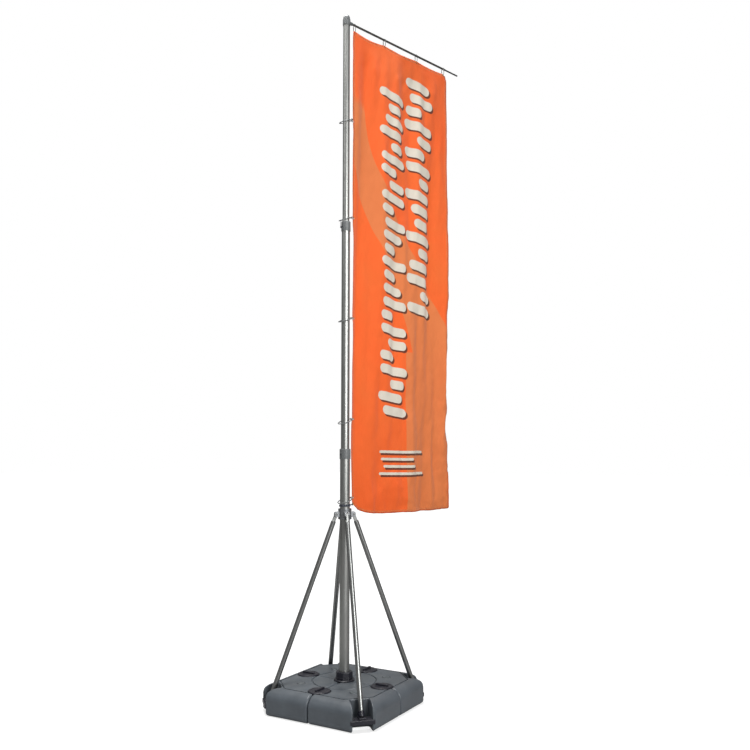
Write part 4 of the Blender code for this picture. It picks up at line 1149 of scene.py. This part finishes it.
@dataclass(frozen=True)
class Braces:
    """The hub on the mast, and the four struts with their pins and feet."""

    pivot_radius: float = 0.063
    pivot_height: float = 1.305
    run_out: float = 0.452325
    drop: float = 1.236
    tube_end: float = 1.2626
    tube_radius: float = 0.017
    bore: float = 0.0351

    def hub(self) -> bmesh.types.BMesh:
        """Returns the cast hub: banded ring with four forked lugs."""
        out, low, top = 0.047, 1.270, 1.345
        ring = turned([(self.bore, low), (out - 0.003, low), (out - 0.0008, low + 0.001),
                       (out, low + 0.003), (out, low + 0.010), (out - 0.0012, low + 0.012),
                       (out - 0.0012, low + 0.058), (out, low + 0.060), (out, top - 0.003),
                       (out - 0.0008, top - 0.001), (out - 0.003, top), (self.bore + 0.001, top),
                       (self.bore, top - 0.001)], 96, closed=True)
        parts = [ring]
        for index in range(4):
            there = turn(math.pi / 2 * index + math.pi / 4)
            for side in (-1, 1):
                low_y, high_y = sorted((side * 0.0076, side * 0.0169))
                cheek = slab((0.041, low_y, 1.2872), (0.0758, high_y, 1.3228))
                nose = [edge for edge in cheek.edges
                        if all(vert.co.x > 0.07 for vert in edge.verts)
                        and abs(edge.verts[0].co.y - edge.verts[1].co.y) > 0.001]
                eased(cheek, nose, 0.0125, 6)
                parts.append(moved(soft_edges(cheek, 0.0012), there))
            web = slab((0.040, -0.0165, 1.2842), (0.0500, 0.0165, 1.3258), 0.003, 3)
            parts.append(moved(web, there))
        return gather(*parts)

    def strut(self) -> bmesh.types.BMesh:
        """Returns a strut that hangs straight down from its hinge pin."""
        out, end = self.tube_radius, self.tube_end
        tube = turned([(out, -end), (out, -0.0535), (out - 0.0006, -0.0525), (out - 0.002, -0.052),
                       (0, -0.052), (0, -0.064), (out - 0.002, -0.066), (out - 0.002, -end)],
                      64)
        rim = turned([(out - 0.002, -end + 0.001), (out - 0.002, -end), (out, -end),
                      (out, -end + 0.001)], 64, closed=True)
        tongue = slab((-0.0119, -0.0070, -0.058), (0.0119, 0.0070, 0.0119))
        nose = [edge for edge in tongue.edges if all(vert.co.z > 0 for vert in edge.verts)
                and abs(edge.verts[0].co.y - edge.verts[1].co.y) > 0.001]
        eased(tongue, nose, 0.0112, 7)
        tongue = soft_edges(tongue, 0.0010)
        throat = turned([(0, -0.0545), (0.0150, -0.0545), (0.0150, -0.0515), (0.0125, -0.0475),
                         (0, -0.0475)], 48)
        return gather(tube, rim, tongue, throat)

    def pin(self) -> bmesh.types.BMesh:
        """Returns a hinge pin along Y: shank, domed hexagon head, washer and nut."""
        half = 0.0173
        parts = [prism(0.0039, -half, half, 24)]
        for side in (1, -1):
            head = gather(prism(0.0072, half + 0.0006, half + 0.0038, 6, 0.0006),
                          prism(0.0075, half - 0.0002, half + 0.0008, 24, 0.0002))
            parts.append(moved(head, turn(math.pi / 2 * (1 - side), "X")))
        return moved(gather(*parts), turn(math.pi / 2, "X"))

    def foot(self) -> tuple[bmesh.types.BMesh, bmesh.types.BMesh]:
        """Returns a strut's foot: the pad drawn in place, and the sleeve along the strut."""
        middle = self.pivot_radius + 0.0001 + (self.pivot_height - 0.0753) * self.slope
        pad = slab((middle - 0.029, -0.022, 0.0753), (middle + 0.029, 0.022, 0.0853), 0.003, 3)
        cap = prism(0.0045, 0.0845, 0.0885, 6, 0.0006)
        bolts = [moved(cap.copy(), shift(middle + 0.0225, side * 0.0150)) for side in (-1, 1)]
        cap.free()
        out, end = 0.021, self.tube_end
        sleeve = turned([(0, -end - 0.0003), (out - 0.002, -end - 0.0003), (out, -end - 0.002),
                         (out, -end - 0.012), (out - 0.0012, -end - 0.0132),
                         (out - 0.0012, -end - 0.0148), (out, -end - 0.016),
                         (out, -end - 0.0335), (0, -end - 0.0335)], 64)
        plug = turned([(0, -end - 0.003), (0.0146, -end - 0.003), (0.0146, -end + 0.036),
                       (0.012, -end + 0.039), (0, -end + 0.039)], 48)
        return gather(pad, *bolts), gather(sleeve, plug)

    @property
    def slope(self) -> float:
        """How far a strut runs out for each metre that it drops."""
        return self.run_out / self.drop

    def build(self, shop: Workshop) -> None:
        """Makes the hub and the four struts.

        Args:
            shop: the workshop that finishes them.
        """
        shop.add("brace_hub", self.hub(), CASTING, "root", None, ["strut_hub"])
        lean = turn(-math.atan(self.slope), "Y")
        for index, corner in enumerate(CORNERS):
            round_mast = turn(math.pi / 2 * index + math.pi / 4)
            pivot = round_mast @ shift(self.pivot_radius, 0, self.pivot_height)
            shop.add("brace_tube_" + corner, self.strut(), BRACE, "strut_" + corner,
                     pivot @ lean, ["strut_" + corner])
            pad, sleeve = self.foot()
            shop.add("brace_foot_" + corner, pad, BLACK, "strut_" + corner, round_mast,
                     ["strut_foot_" + corner])
            shop.add("brace_sleeve_" + corner, sleeve, BLACK, "strut_" + corner, pivot @ lean,
                     ["strut_foot_" + corner])
            shop.add("hinge_pin_" + corner, self.pin(), STEEL, "root", pivot,
                     ["strut_pin_" + corner])


# ------------------------------------------------------------------ head

@dataclass(frozen=True)
class Head:
    """Mast cap, swivel, crossbar and hooks, drawn along +X and then turned."""

    bar_height: float = 4.945
    bar_radius: float = 0.008
    swivel_radius: float = 0.0285
    hook_places: tuple[float, ...] = (0.080, 0.3932, 0.7529, 1.0766)
    hook_wire: float = 0.0022
    hook_half: float = 0.0115

    def cap(self) -> bmesh.types.BMesh:
        """Returns the domed mast cap with its spigot."""
        arc = [(0.026 * math.cos(step * math.pi / 16), 4.966 + 0.034 * math.sin(
            step * math.pi / 16)) for step in range(9)]
        return turned([(0, 4.931), (0.0215, 4.931), (0.0225, 4.933), (0.0225, 4.960),
                       (0.0250, 4.960), (0.026, 4.961), *arc[:-1], (0, 5.0)], 72)

    def swivel(self) -> bmesh.types.BMesh:
        """Returns the swivel collar, its boss along +X and the boss's set screw."""
        low, top, out, bore = 4.9215, 4.9595, self.swivel_radius, 0.0256
        ring = turned([(bore, low), (out - 0.001, low), (out, low + 0.001), (out, low + 0.006),
                       (out - 0.0008, low + 0.007), (out - 0.0008, low + 0.0085),
                       (out, low + 0.0095), (out, top - 0.0095), (out - 0.0008, top - 0.0085),
                       (out - 0.0008, top - 0.007), (out, top - 0.006), (out, top - 0.001),
                       (out - 0.001, top), (bore, top)], 72, closed=True)
        boss = turned([(0.0082, 0.026), (0.012, 0.026), (0.012, 0.0545), (0.0112, 0.057),
                       (0.0095, 0.058), (0.0082, 0.058)], 48, closed=True)
        moved(boss, shift(0, 0, self.bar_height) @ turn(math.pi / 2, "Y"))
        screw = prism(0.003, self.bar_height + 0.0100, self.bar_height + 0.0135, 12, 0.0005)
        return gather(ring, boss, moved(screw, shift(0.046)))

    def stop(self) -> bmesh.types.BMesh:
        """Returns the stop ring below the swivel collar."""
        top, low, out = 4.9210, 4.9132, self.swivel_radius
        return turned([(0.0251, low), (out - 0.0012, low), (out - 0.0002, low + 0.0012),
                       (out - 0.0002, top - 0.0012), (out - 0.0012, top), (0.0251, top)], 72,
                      closed=True)

    def bar(self, radius: float, wall: float, start: float, end: float) -> bmesh.types.BMesh:
        """Returns a tube or a domed rod that runs along Z at the origin, for turning over."""
        if wall:
            return turned([(radius - wall, start), (radius - 0.0004, start),
                           (radius, start + 0.0004), (radius, end - 0.0008),
                           (radius - 0.0005, end), (radius - wall, end)], 48, closed=True)
        return turned([(0, start), (radius, start), (radius, end - 0.004),
                       (radius * 0.86, end - 0.0017), (radius * 0.5, end - 0.0004), (0, end)], 48)

    def hook(self) -> bmesh.types.BMesh:
        """Returns a hook: an upright wire loop round the crossbar, its ends twisted shut."""
        upper, lower, half = self.bar_height - 0.0008, self.bar_height - 0.0393, self.hook_half
        line = []
        for step in range(20):
            angle = math.pi * step / 19
            line.append((0, half * math.cos(angle), upper + half * math.sin(angle)))
        for step in range(20):
            angle = math.pi + math.pi * step / 19
            line.append((0, half * math.cos(angle), lower + half * math.sin(angle)))
        twist = []
        for step in range(49):
            angle = math.tau * step / 12
            twist.append((0.0029 * math.cos(angle), half + 0.0029 * math.sin(angle),
                          self.bar_height - 0.031 + step * 0.0005))
        return gather(wire(line, self.hook_wire, closed=True), wire(twist, 0.0009, facets=2))

    def build(self, shop: Workshop) -> None:
        """Makes the head's pieces.

        Args:
            shop: the workshop that finishes them.
        """
        facing = turn(HEAD_YAW)
        lying = facing @ shift(0, 0, self.bar_height) @ turn(math.pi / 2, "Y")
        shop.add("domed_cap", self.cap(), GREY, "upper", None, ["mast_cap"])
        shop.add("stop_ring", self.stop(), GREY, "upper", None, ["swivel_stop"])
        shop.add("swivel_head", self.swivel(), GREY, "head", facing, ["swivel_collar"])
        shop.add("crossbar", self.bar(self.bar_radius, 0.0015, 0.034, 1.105), DARK_TUBE, "head",
                 lying, ["crossbar_tube"])
        shop.add("crossbar_tip", self.bar(0.0062, 0.0, 1.030, 1.262), STEEL, "head", lying,
                 ["crossbar_end_rod"])
        for index, place in enumerate(self.hook_places, 1):
            shop.add("wire_hook_%d" % index, self.hook(), STEEL, "head", facing @ shift(place),
                     ["hook_%d" % index])


# ------------------------------------------------------------------ rings, ties and banner

@dataclass(frozen=True)
class Eyelet:
    """A rolled brass eyelet in the banner's hem."""

    hole: float = 0.0050
    wide: float = 0.0088
    thick: float = 0.0030

    def build(self) -> bmesh.types.BMesh:
        """Returns the eyelet, lying in the XZ plane."""
        middle, half = (self.hole + self.wide) / 2, (self.wide - self.hole) / 2
        outline = [(middle + half * math.cos(step * math.tau / 12),
                    self.thick / 2 * math.sin(step * math.tau / 12)) for step in range(12)]
        return moved(turned(outline, 32, closed=True), turn(math.pi / 2, "X"))


@dataclass(frozen=True)
class Ties:
    """The loose rings round the mast, the cord loops to the banner, and the corner cord."""

    ring_heights: tuple[float, ...] = (4.172, 3.433, 2.688, 1.957, 1.400)
    ring_radius: float = 0.0515
    ring_wire: float = 0.0035
    ring_tilt: float = math.radians(22.0)
    eyelet_reach: float = 0.0745
    eyelet_rise: float = 0.019
    cord_height: float = 1.360
    cord_pitch: float = 0.0054
    cord_radius: float = 0.0385
    corner: tuple[float, float] = (0.0735, 1.372)

    def ring(self) -> bmesh.types.BMesh:
        """Returns a ring, tilted up towards the banner."""
        outline = [(self.ring_radius + self.ring_wire * math.cos(step * math.tau / 14),
                    self.ring_wire * math.sin(step * math.tau / 14)) for step in range(14)]
        return moved(turned(outline, 72, closed=True), turn(-self.ring_tilt, "Y"))

    def loop(self) -> bmesh.types.BMesh:
        """Returns a loop of thin cord from the ring's high side to the banner's eyelet."""
        near = Vector((self.ring_radius * math.cos(self.ring_tilt), 0,
                       self.ring_radius * math.sin(self.ring_tilt)))
        far = Vector((self.eyelet_reach, 0, self.eyelet_rise))
        middle, way = (near + far) / 2, (far - near).normalized()
        across = Vector((-way.z, 0, way.x))
        reach = (far - near).length / 2 + 0.0058
        line = []
        for step in range(28):
            angle = math.tau * step / 28
            line.append(middle + way * reach * math.cos(angle)
                        + across * 0.0060 * math.sin(angle)
                        + Vector((0, 0.0028 * math.sin(angle * 2), 0)))
        band = []
        for step in range(37):
            angle = math.tau * step / 9
            band.append(middle + way * (step - 18) * 0.00022
                        + across * 0.0062 * math.cos(angle)
                        + Vector((0, 0.0042 * math.sin(angle), 0)))
        return gather(wire(line, 0.0016, closed=True), wire(band, 0.0010, facets=2))

    def hang_tail(self, shop: Workshop, height: float) -> None:
        """Hangs a tie's short free end and its toggle on the mast's far side.

        Args:
            shop: the workshop that finishes them.
            height: the height of the ring that they hang from.
        """
        start = Vector((-self.ring_radius * math.cos(self.ring_tilt) - 0.001, 0,
                        -self.ring_radius * math.sin(self.ring_tilt) - 0.003))
        line = [start + Vector((-0.004 * math.sin(step / 24 * math.pi), 0, -0.0018 * step))
                for step in range(25)]
        place = turn(HEAD_YAW) @ shift(0, 0, height)
        toggle = moved(turned([(0, -0.0560), (0.0030, -0.0555), (0.0042, -0.053),
                               (0.0042, -0.0435), (0.0030, -0.041), (0, -0.0405)], 24),
                       Matrix.Translation(start))
        tail = shop.add("tie_end", wire(line, 0.0015, facets=4), CORD, "ring_2", place)
        bead = shop.add("tie_toggle", toggle, BLACK, "ring_2", place)

    def corner_cord(self) -> bmesh.types.BMesh:
        """Returns the corner cord: three turns round the mast, and its end at the eyelet."""
        line = []
        for step in range(3 * 40 + 1):
            angle = math.tau * step / 40
            line.append((self.cord_radius * math.cos(angle), self.cord_radius * math.sin(angle),
                         self.cord_height - 0.0027 + self.cord_pitch * step / 40))
        out = Vector(line[-1])
        far = Vector((self.corner[0] - 0.004, 0.0, self.corner[1] - 0.004))
        for step in range(1, 9):
            share = step / 8
            line.append(out.lerp(far, share) + Vector((0, 0.004 * math.sin(share * math.pi), 0)))
        knot = []
        for step in range(41):
            angle = math.tau * step / 16
            knot.append(far + Vector((0.0038 * math.sin(angle * 2) - 0.001,
                                      0.0045 * math.cos(angle * 3),
                                      0.0045 * math.sin(angle * 3))))
        return gather(wire(line, 0.0025), wire(knot, 0.0017))

    def build(self, shop: Workshop) -> list[bpy.types.Object]:
        """Makes the ties.

        Args:
            shop: the workshop that finishes them.

        Returns:
            The eyelets along the banner's inner edge.
        """
        facing = turn(HEAD_YAW)
        eyelets = []
        for index, height in enumerate(self.ring_heights, 1):
            body, here = "ring_%d" % index, facing @ shift(0, 0, height)
            shop.add("loose_ring_%d" % index, self.ring(), GREY, body, here, [body])
            shop.add("ring_tie_%d" % index, self.loop(), PALE_CORD, body, here)
            eyelets.append(shop.add("edge_eyelet_%d" % index, Eyelet().build(), BRASS, body,
                                    here @ shift(self.eyelet_reach, 0, self.eyelet_rise)))
        self.hang_tail(shop, self.ring_heights[1])
        shop.add("corner_lashing", self.corner_cord(), CORD, "ring_5", facing, ["corner_cord"])
        eyelets.append(shop.add("corner_eyelet", Eyelet().build(), BRASS, "ring_5",
                                facing @ shift(self.corner[0], 0, self.corner[1])))
        return eyelets


@dataclass(frozen=True)
class Banner:
    """The banner: one sheet, hung on the hooks and tied to the rings."""

    inner: float = 0.066
    outer: float = 1.120
    low: float = 1.272
    high: float = 4.9005
    cut_width: float = 1.09
    cut_length: float = 3.66
    across: int = 46
    along: int = 150
    hem: float = 0.020
    eyelet_height: float = 4.8914
    moments: int = 50
    fold_gain: float = 1.1
    folds: tuple[tuple[float, float, float, float], ...] = (
        (0.0100, 1.3, 0.35, 0.4), (0.0080, 2.6, -0.5, 1.9), (0.0050, 4.6, 0.8, 0.0),
        (0.0024, 8.0, -1.3, 2.6), (0.0020, 3.0, 5.3, 1.1))

    def bottom(self, share: float) -> float:
        """Returns the height of the lower edge at a share of the width."""
        gathered = 0.098 * math.exp(-share / 0.075)
        return self.low + gathered + 0.016 * (1 - share) ** 2

    def top(self, share: float) -> float:
        """Returns the height of the upper edge, which sags between the hooks."""
        spots = [(place - self.inner) / (self.outer - self.inner)
                 for place in Head.hook_places]
        for first, second, sag in zip(spots, spots[1:], (0.016, 0.009, 0.009)):
            if first <= share <= second:
                part = (share - first) / (second - first)
                return self.high - sag * math.sin(part * math.pi)
        return self.high - (0.004 if share > spots[-1] else 0.0)

    def hanging(self, share: float, rise: float) -> Vector:
        """Returns where a point of the sheet hangs before it settles."""
        low, high = self.bottom(share), self.top(share)
        height = low + (high - low) * rise
        place = self.inner + (self.outer - self.inner) * share
        return Vector((place, self.depth(share, rise), height))

    def depth(self, share: float, rise: float) -> float:
        """Returns how far the folds push a point off the flat."""
        depth = 0.0
        for size, count, slant, phase in self.folds:
            depth += size * math.sin(math.tau * (count * share + slant * rise) + phase)
        depth *= min(1.0, share / 0.06) * min(1.0, (1.0 - rise) / 0.06)
        gathered = math.exp(-share / 0.10) * math.exp(-rise / 0.03) * min(1.0, share / 0.03)
        return depth + gathered * 0.010 * math.sin(math.tau * (share * 18 + rise * 16))

    def sheet(self) -> tuple[bmesh.types.BMesh, list[Point2]]:
        """Returns the sheet as it starts to hang, and each point's share of width and height."""
        bm = bmesh.new()
        bmesh.ops.create_grid(bm, x_segments=self.across, y_segments=self.along, size=0.5)
        layer = bm.loops.layers.uv.new(Place.CLOTH.value)
        for face in bm.faces:
            for loop in face.loops:
                loop[layer].uv = (loop.vert.co.x + 0.5, loop.vert.co.y + 0.5)
        shares = [(vert.co.x + 0.5, vert.co.y + 0.5) for vert in bm.verts]
        for vert, (share, rise) in zip(bm.verts, shares):
            vert.co = self.hanging(share, rise)
        return bm, shares

    def holds(self, shares: Sequence[Point2], ties: Ties, head: Head) -> list[int]:
        """Returns the points that the hooks, the rings and the corner cord hold."""
        width, length = self.outer - self.inner, self.high - self.low
        wanted = [((place - self.inner) / width, (self.eyelet_height - self.low) / length)
                  for place in head.hook_places]
        wanted += [((ties.eyelet_reach - self.inner) / width,
                    (height + ties.eyelet_rise - self.bottom(0.0)) / (self.high - self.bottom(0.0)))
                   for height in ties.ring_heights]
        wanted.append((0.01, 0.0))
        return [min(range(len(shares)), key=lambda spot: math.hypot(
            (shares[spot][0] - across) * width, (shares[spot][1] - rise) * length))
            for across, rise in wanted]

    def settle(self, obj: bpy.types.Object, shares: Sequence[Point2],
               held: Sequence[int]) -> None:
        """Lets the sheet hang, and keeps the shape that it settles into.

        Args:
            obj: the sheet, as it starts.
            shares: each point's share of the cut cloth's width and height.
            held: the points that don't move.
        """
        obj.shape_key_add(name="start")
        cut = obj.shape_key_add(name="cut_flat")
        for spot, (share, rise) in zip(cut.data, shares):
            spot.co = (share * self.cut_width, 0.0, rise * self.cut_length)
        obj.vertex_groups.new(name="held").add(list(held), 1.0, "REPLACE")
        cloth = obj.modifiers.new("hanging", "CLOTH")
        settings = cloth.settings
        settings.quality = 8
        settings.mass = 0.004
        settings.tension_stiffness = settings.compression_stiffness = 25.0
        settings.shear_stiffness = 6.0
        settings.bending_stiffness = 0.04
        settings.tension_damping = settings.compression_damping = 14.0
        settings.shear_damping = 10.0
        settings.air_damping = 3.0
        settings.vertex_group_mass = "held"
        settings.rest_shape_key = cut
        cloth.collision_settings.use_self_collision = False
        cloth.collision_settings.use_collision = False
        scene = bpy.context.scene
        scene.frame_start, scene.frame_end = 1, self.moments
        cloth.point_cache.frame_start, cloth.point_cache.frame_end = 1, self.moments
        for moment in range(1, self.moments + 1):
            scene.frame_set(moment)
        hung = obj.evaluated_get(bpy.context.evaluated_depsgraph_get()).to_mesh()
        settled = [vert.co.copy() for vert in hung.vertices]
        obj.modifiers.remove(cloth)
        obj.shape_key_clear()
        for vert, spot, (share, rise) in zip(obj.data.vertices, settled, shares):
            vert.co = spot + Vector((0, self.depth(share, rise) * self.fold_gain, 0))
        scene.frame_set(1)
        LOG.info("banner settled in %d moments", self.moments)

    def build(self, shop: Workshop, ties: Ties, head: Head,
              eyelets: list[bpy.types.Object]) -> None:
        """Makes the banner and its top eyelets.

        Args:
            shop: the workshop that finishes them.
            ties: the rings and the cord that hold its inner edge.
            head: the crossbar and the hooks that it hangs from.
            eyelets: the eyelets along its inner edge, made with the ties.
        """
        bm, shares = self.sheet()
        banner = shop.add("hanging_banner", bm, CLOTH, "head", None, ["banner"], 80.0)
        self.settle(banner, shares, self.holds(shares, ties, head))
        banner.data.transform(turn(HEAD_YAW))
        hem = banner.vertex_groups.new(name="hem")
        for index, (share, rise) in enumerate(shares):
            edge = min(share * self.cut_width, (1 - share) * self.cut_width,
                       rise * self.cut_length, (1 - rise) * self.cut_length)
            hem.add([index], 1.0 if edge < self.hem else 0.0, "REPLACE")
        smooth = banner.modifiers.new("smooth", "SUBSURF")
        smooth.levels = smooth.render_levels = 1
        thick = banner.modifiers.new("thickness", "SOLIDIFY")
        thick.thickness, thick.offset = 0.0022, 0.0
        thick.vertex_group, thick.thickness_vertex_group = "hem", 0.36
        for index, place in enumerate(head.hook_places, 1):
            eyelets.append(shop.add("top_eyelet_%d" % index, Eyelet().build(), BRASS, "head",
                                    turn(HEAD_YAW) @ shift(place, 0, self.eyelet_height)))
        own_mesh(banner)


# ------------------------------------------------------------------ studio

@dataclass(frozen=True)
class Studio:
    """A pale floor, soft light all round, and the camera."""

    stand: tuple[float, float, float] = (-4.800, -3.075, 1.726)
    ahead: tuple[float, float] = (0.862, 0.508)
    pitch: float = math.radians(5.64)
    lens: float = 38.4
    sensor: float = 36.0
    glow: float = 0.27
    lift: float = 0.70
    drop: float = 0.0004

    def floor(self) -> None:
        """Makes the floor."""
        bm = bmesh.new()
        bmesh.ops.create_grid(bm, x_segments=1, y_segments=1, size=60.0)
        mesh = bpy.data.meshes.new("studio_floor")
        bm.to_mesh(mesh)
        bm.free()
        material = bpy.data.materials.new("pale_floor")
        material.use_nodes = True
        shader = material.node_tree.nodes["Principled BSDF"]
        graph = Graph(material.node_tree)
        seen = graph.node("LightPath").outputs["Is Camera Ray"]
        away = graph.node("VectorMath", {0: graph.place(Place.OBJECT)}, operation="LENGTH")
        lift = graph.ramp(away.outputs["Value"], 2.2, 5.0, self.lift, 1.0)
        graph.feed(shader.inputs["Emission Strength"], graph.math("MULTIPLY", seen, lift))
        shader.inputs["Emission Color"].default_value = ink(1.0, 1.0, 1.0)
        shader.inputs["Base Color"].default_value = ink(0.42, 0.42, 0.42)
        shader.inputs["Roughness"].default_value = 0.9
        shader.inputs["Specular IOR Level"].default_value = 0.1
        mesh.materials.append(material)
        floor = stood("studio_floor", mesh)
        floor.location.z = -self.drop

    def lamp(self, name: str, spot: Sequence[float], aim: Sequence[float], size: float,
             power: float, spread: float = 180.0) -> None:
        """Makes one soft square lamp.

        Args:
            name: its name.
            spot: where it stands.
            aim: the point that it faces.
            size: the length of its side.
            power: its power, in watts.
            spread: how widely it shines, in degrees.
        """
        light = bpy.data.lights.new(name, "AREA")
        light.size, light.energy, light.spread = size, power, math.radians(spread)
        lamp = stood(name, light)
        lamp.location = spot
        lamp.rotation_euler = (Vector(aim) - Vector(spot)).to_track_quat("-Z", "Y").to_euler()

    def world(self) -> None:
        """Lights the scene evenly from all round."""
        world = bpy.data.worlds.new("pale_room")
        world.use_nodes = True
        graph = Graph(world.node_tree)
        back = world.node_tree.nodes["Background"]
        seen = graph.node("LightPath").outputs["Is Camera Ray"]
        graph.feed(back.inputs["Strength"], graph.ramp(seen, 0.0, 1.0, self.glow, 1.0))
        back.inputs["Color"].default_value = ink(1.0, 1.0, 1.0)
        bpy.context.scene.world = world

    def camera(self) -> None:
        """Places the camera."""
        data = bpy.data.cameras.new("camera")
        data.lens, data.sensor_width, data.sensor_fit = self.lens, self.sensor, "HORIZONTAL"
        camera = stood("camera", data)
        level = Vector((*self.ahead, 0)).normalized()
        ahead = level * math.cos(self.pitch) + Vector((0, 0, math.sin(self.pitch)))
        camera.location = self.stand
        camera.rotation_euler = ahead.to_track_quat("-Z", "Y").to_euler()
        bpy.context.scene.camera = camera

    def build(self) -> None:
        """Sets up floor, light and camera."""
        self.floor()
        self.world()
        self.lamp("key", (-3.8, -7.2, 4.2), (0.4, 0.0, 2.6), 3.0, 100.0, 66.0)
        self.lamp("fill", (-6.5, 3.0, 7.0), (0.0, 0.0, 0.6), 3.0, 60.0)
        self.lamp("above", (-0.6, 0.4, 8.0), (0.0, 0.0, 0.0), 3.0, 620.0)
        self.camera()
        bpy.context.scene.view_settings.view_transform = "Standard"
        LOG.info("studio ready")


STAGES = (Stage("lower", "root", 0.035, 0.0203, 1.751, 0.030),
          Stage("middle", "middle", 0.030, 1.601, 3.400, 0.025),
          Stage("upper", "upper", 0.025, 3.250, 4.9597))


def main() -> None:
    """Builds every piece, then the studio."""
    logging.basicConfig(level=logging.INFO, format="%(name)s %(message)s")
    shop = Workshop()
    Base().build(shop)
    for stage in STAGES:
        stage.build(shop)
    for node in ("middle_bush", "upper_bush"):
        shop.dress(node, BLACK)
    Braces().build(shop)
    head, ties = Head(), Ties()
    head.build(shop)
    Banner().build(shop, ties, head, ties.build(shop))
    Studio().build()


if __name__ == "__main__":
    main()
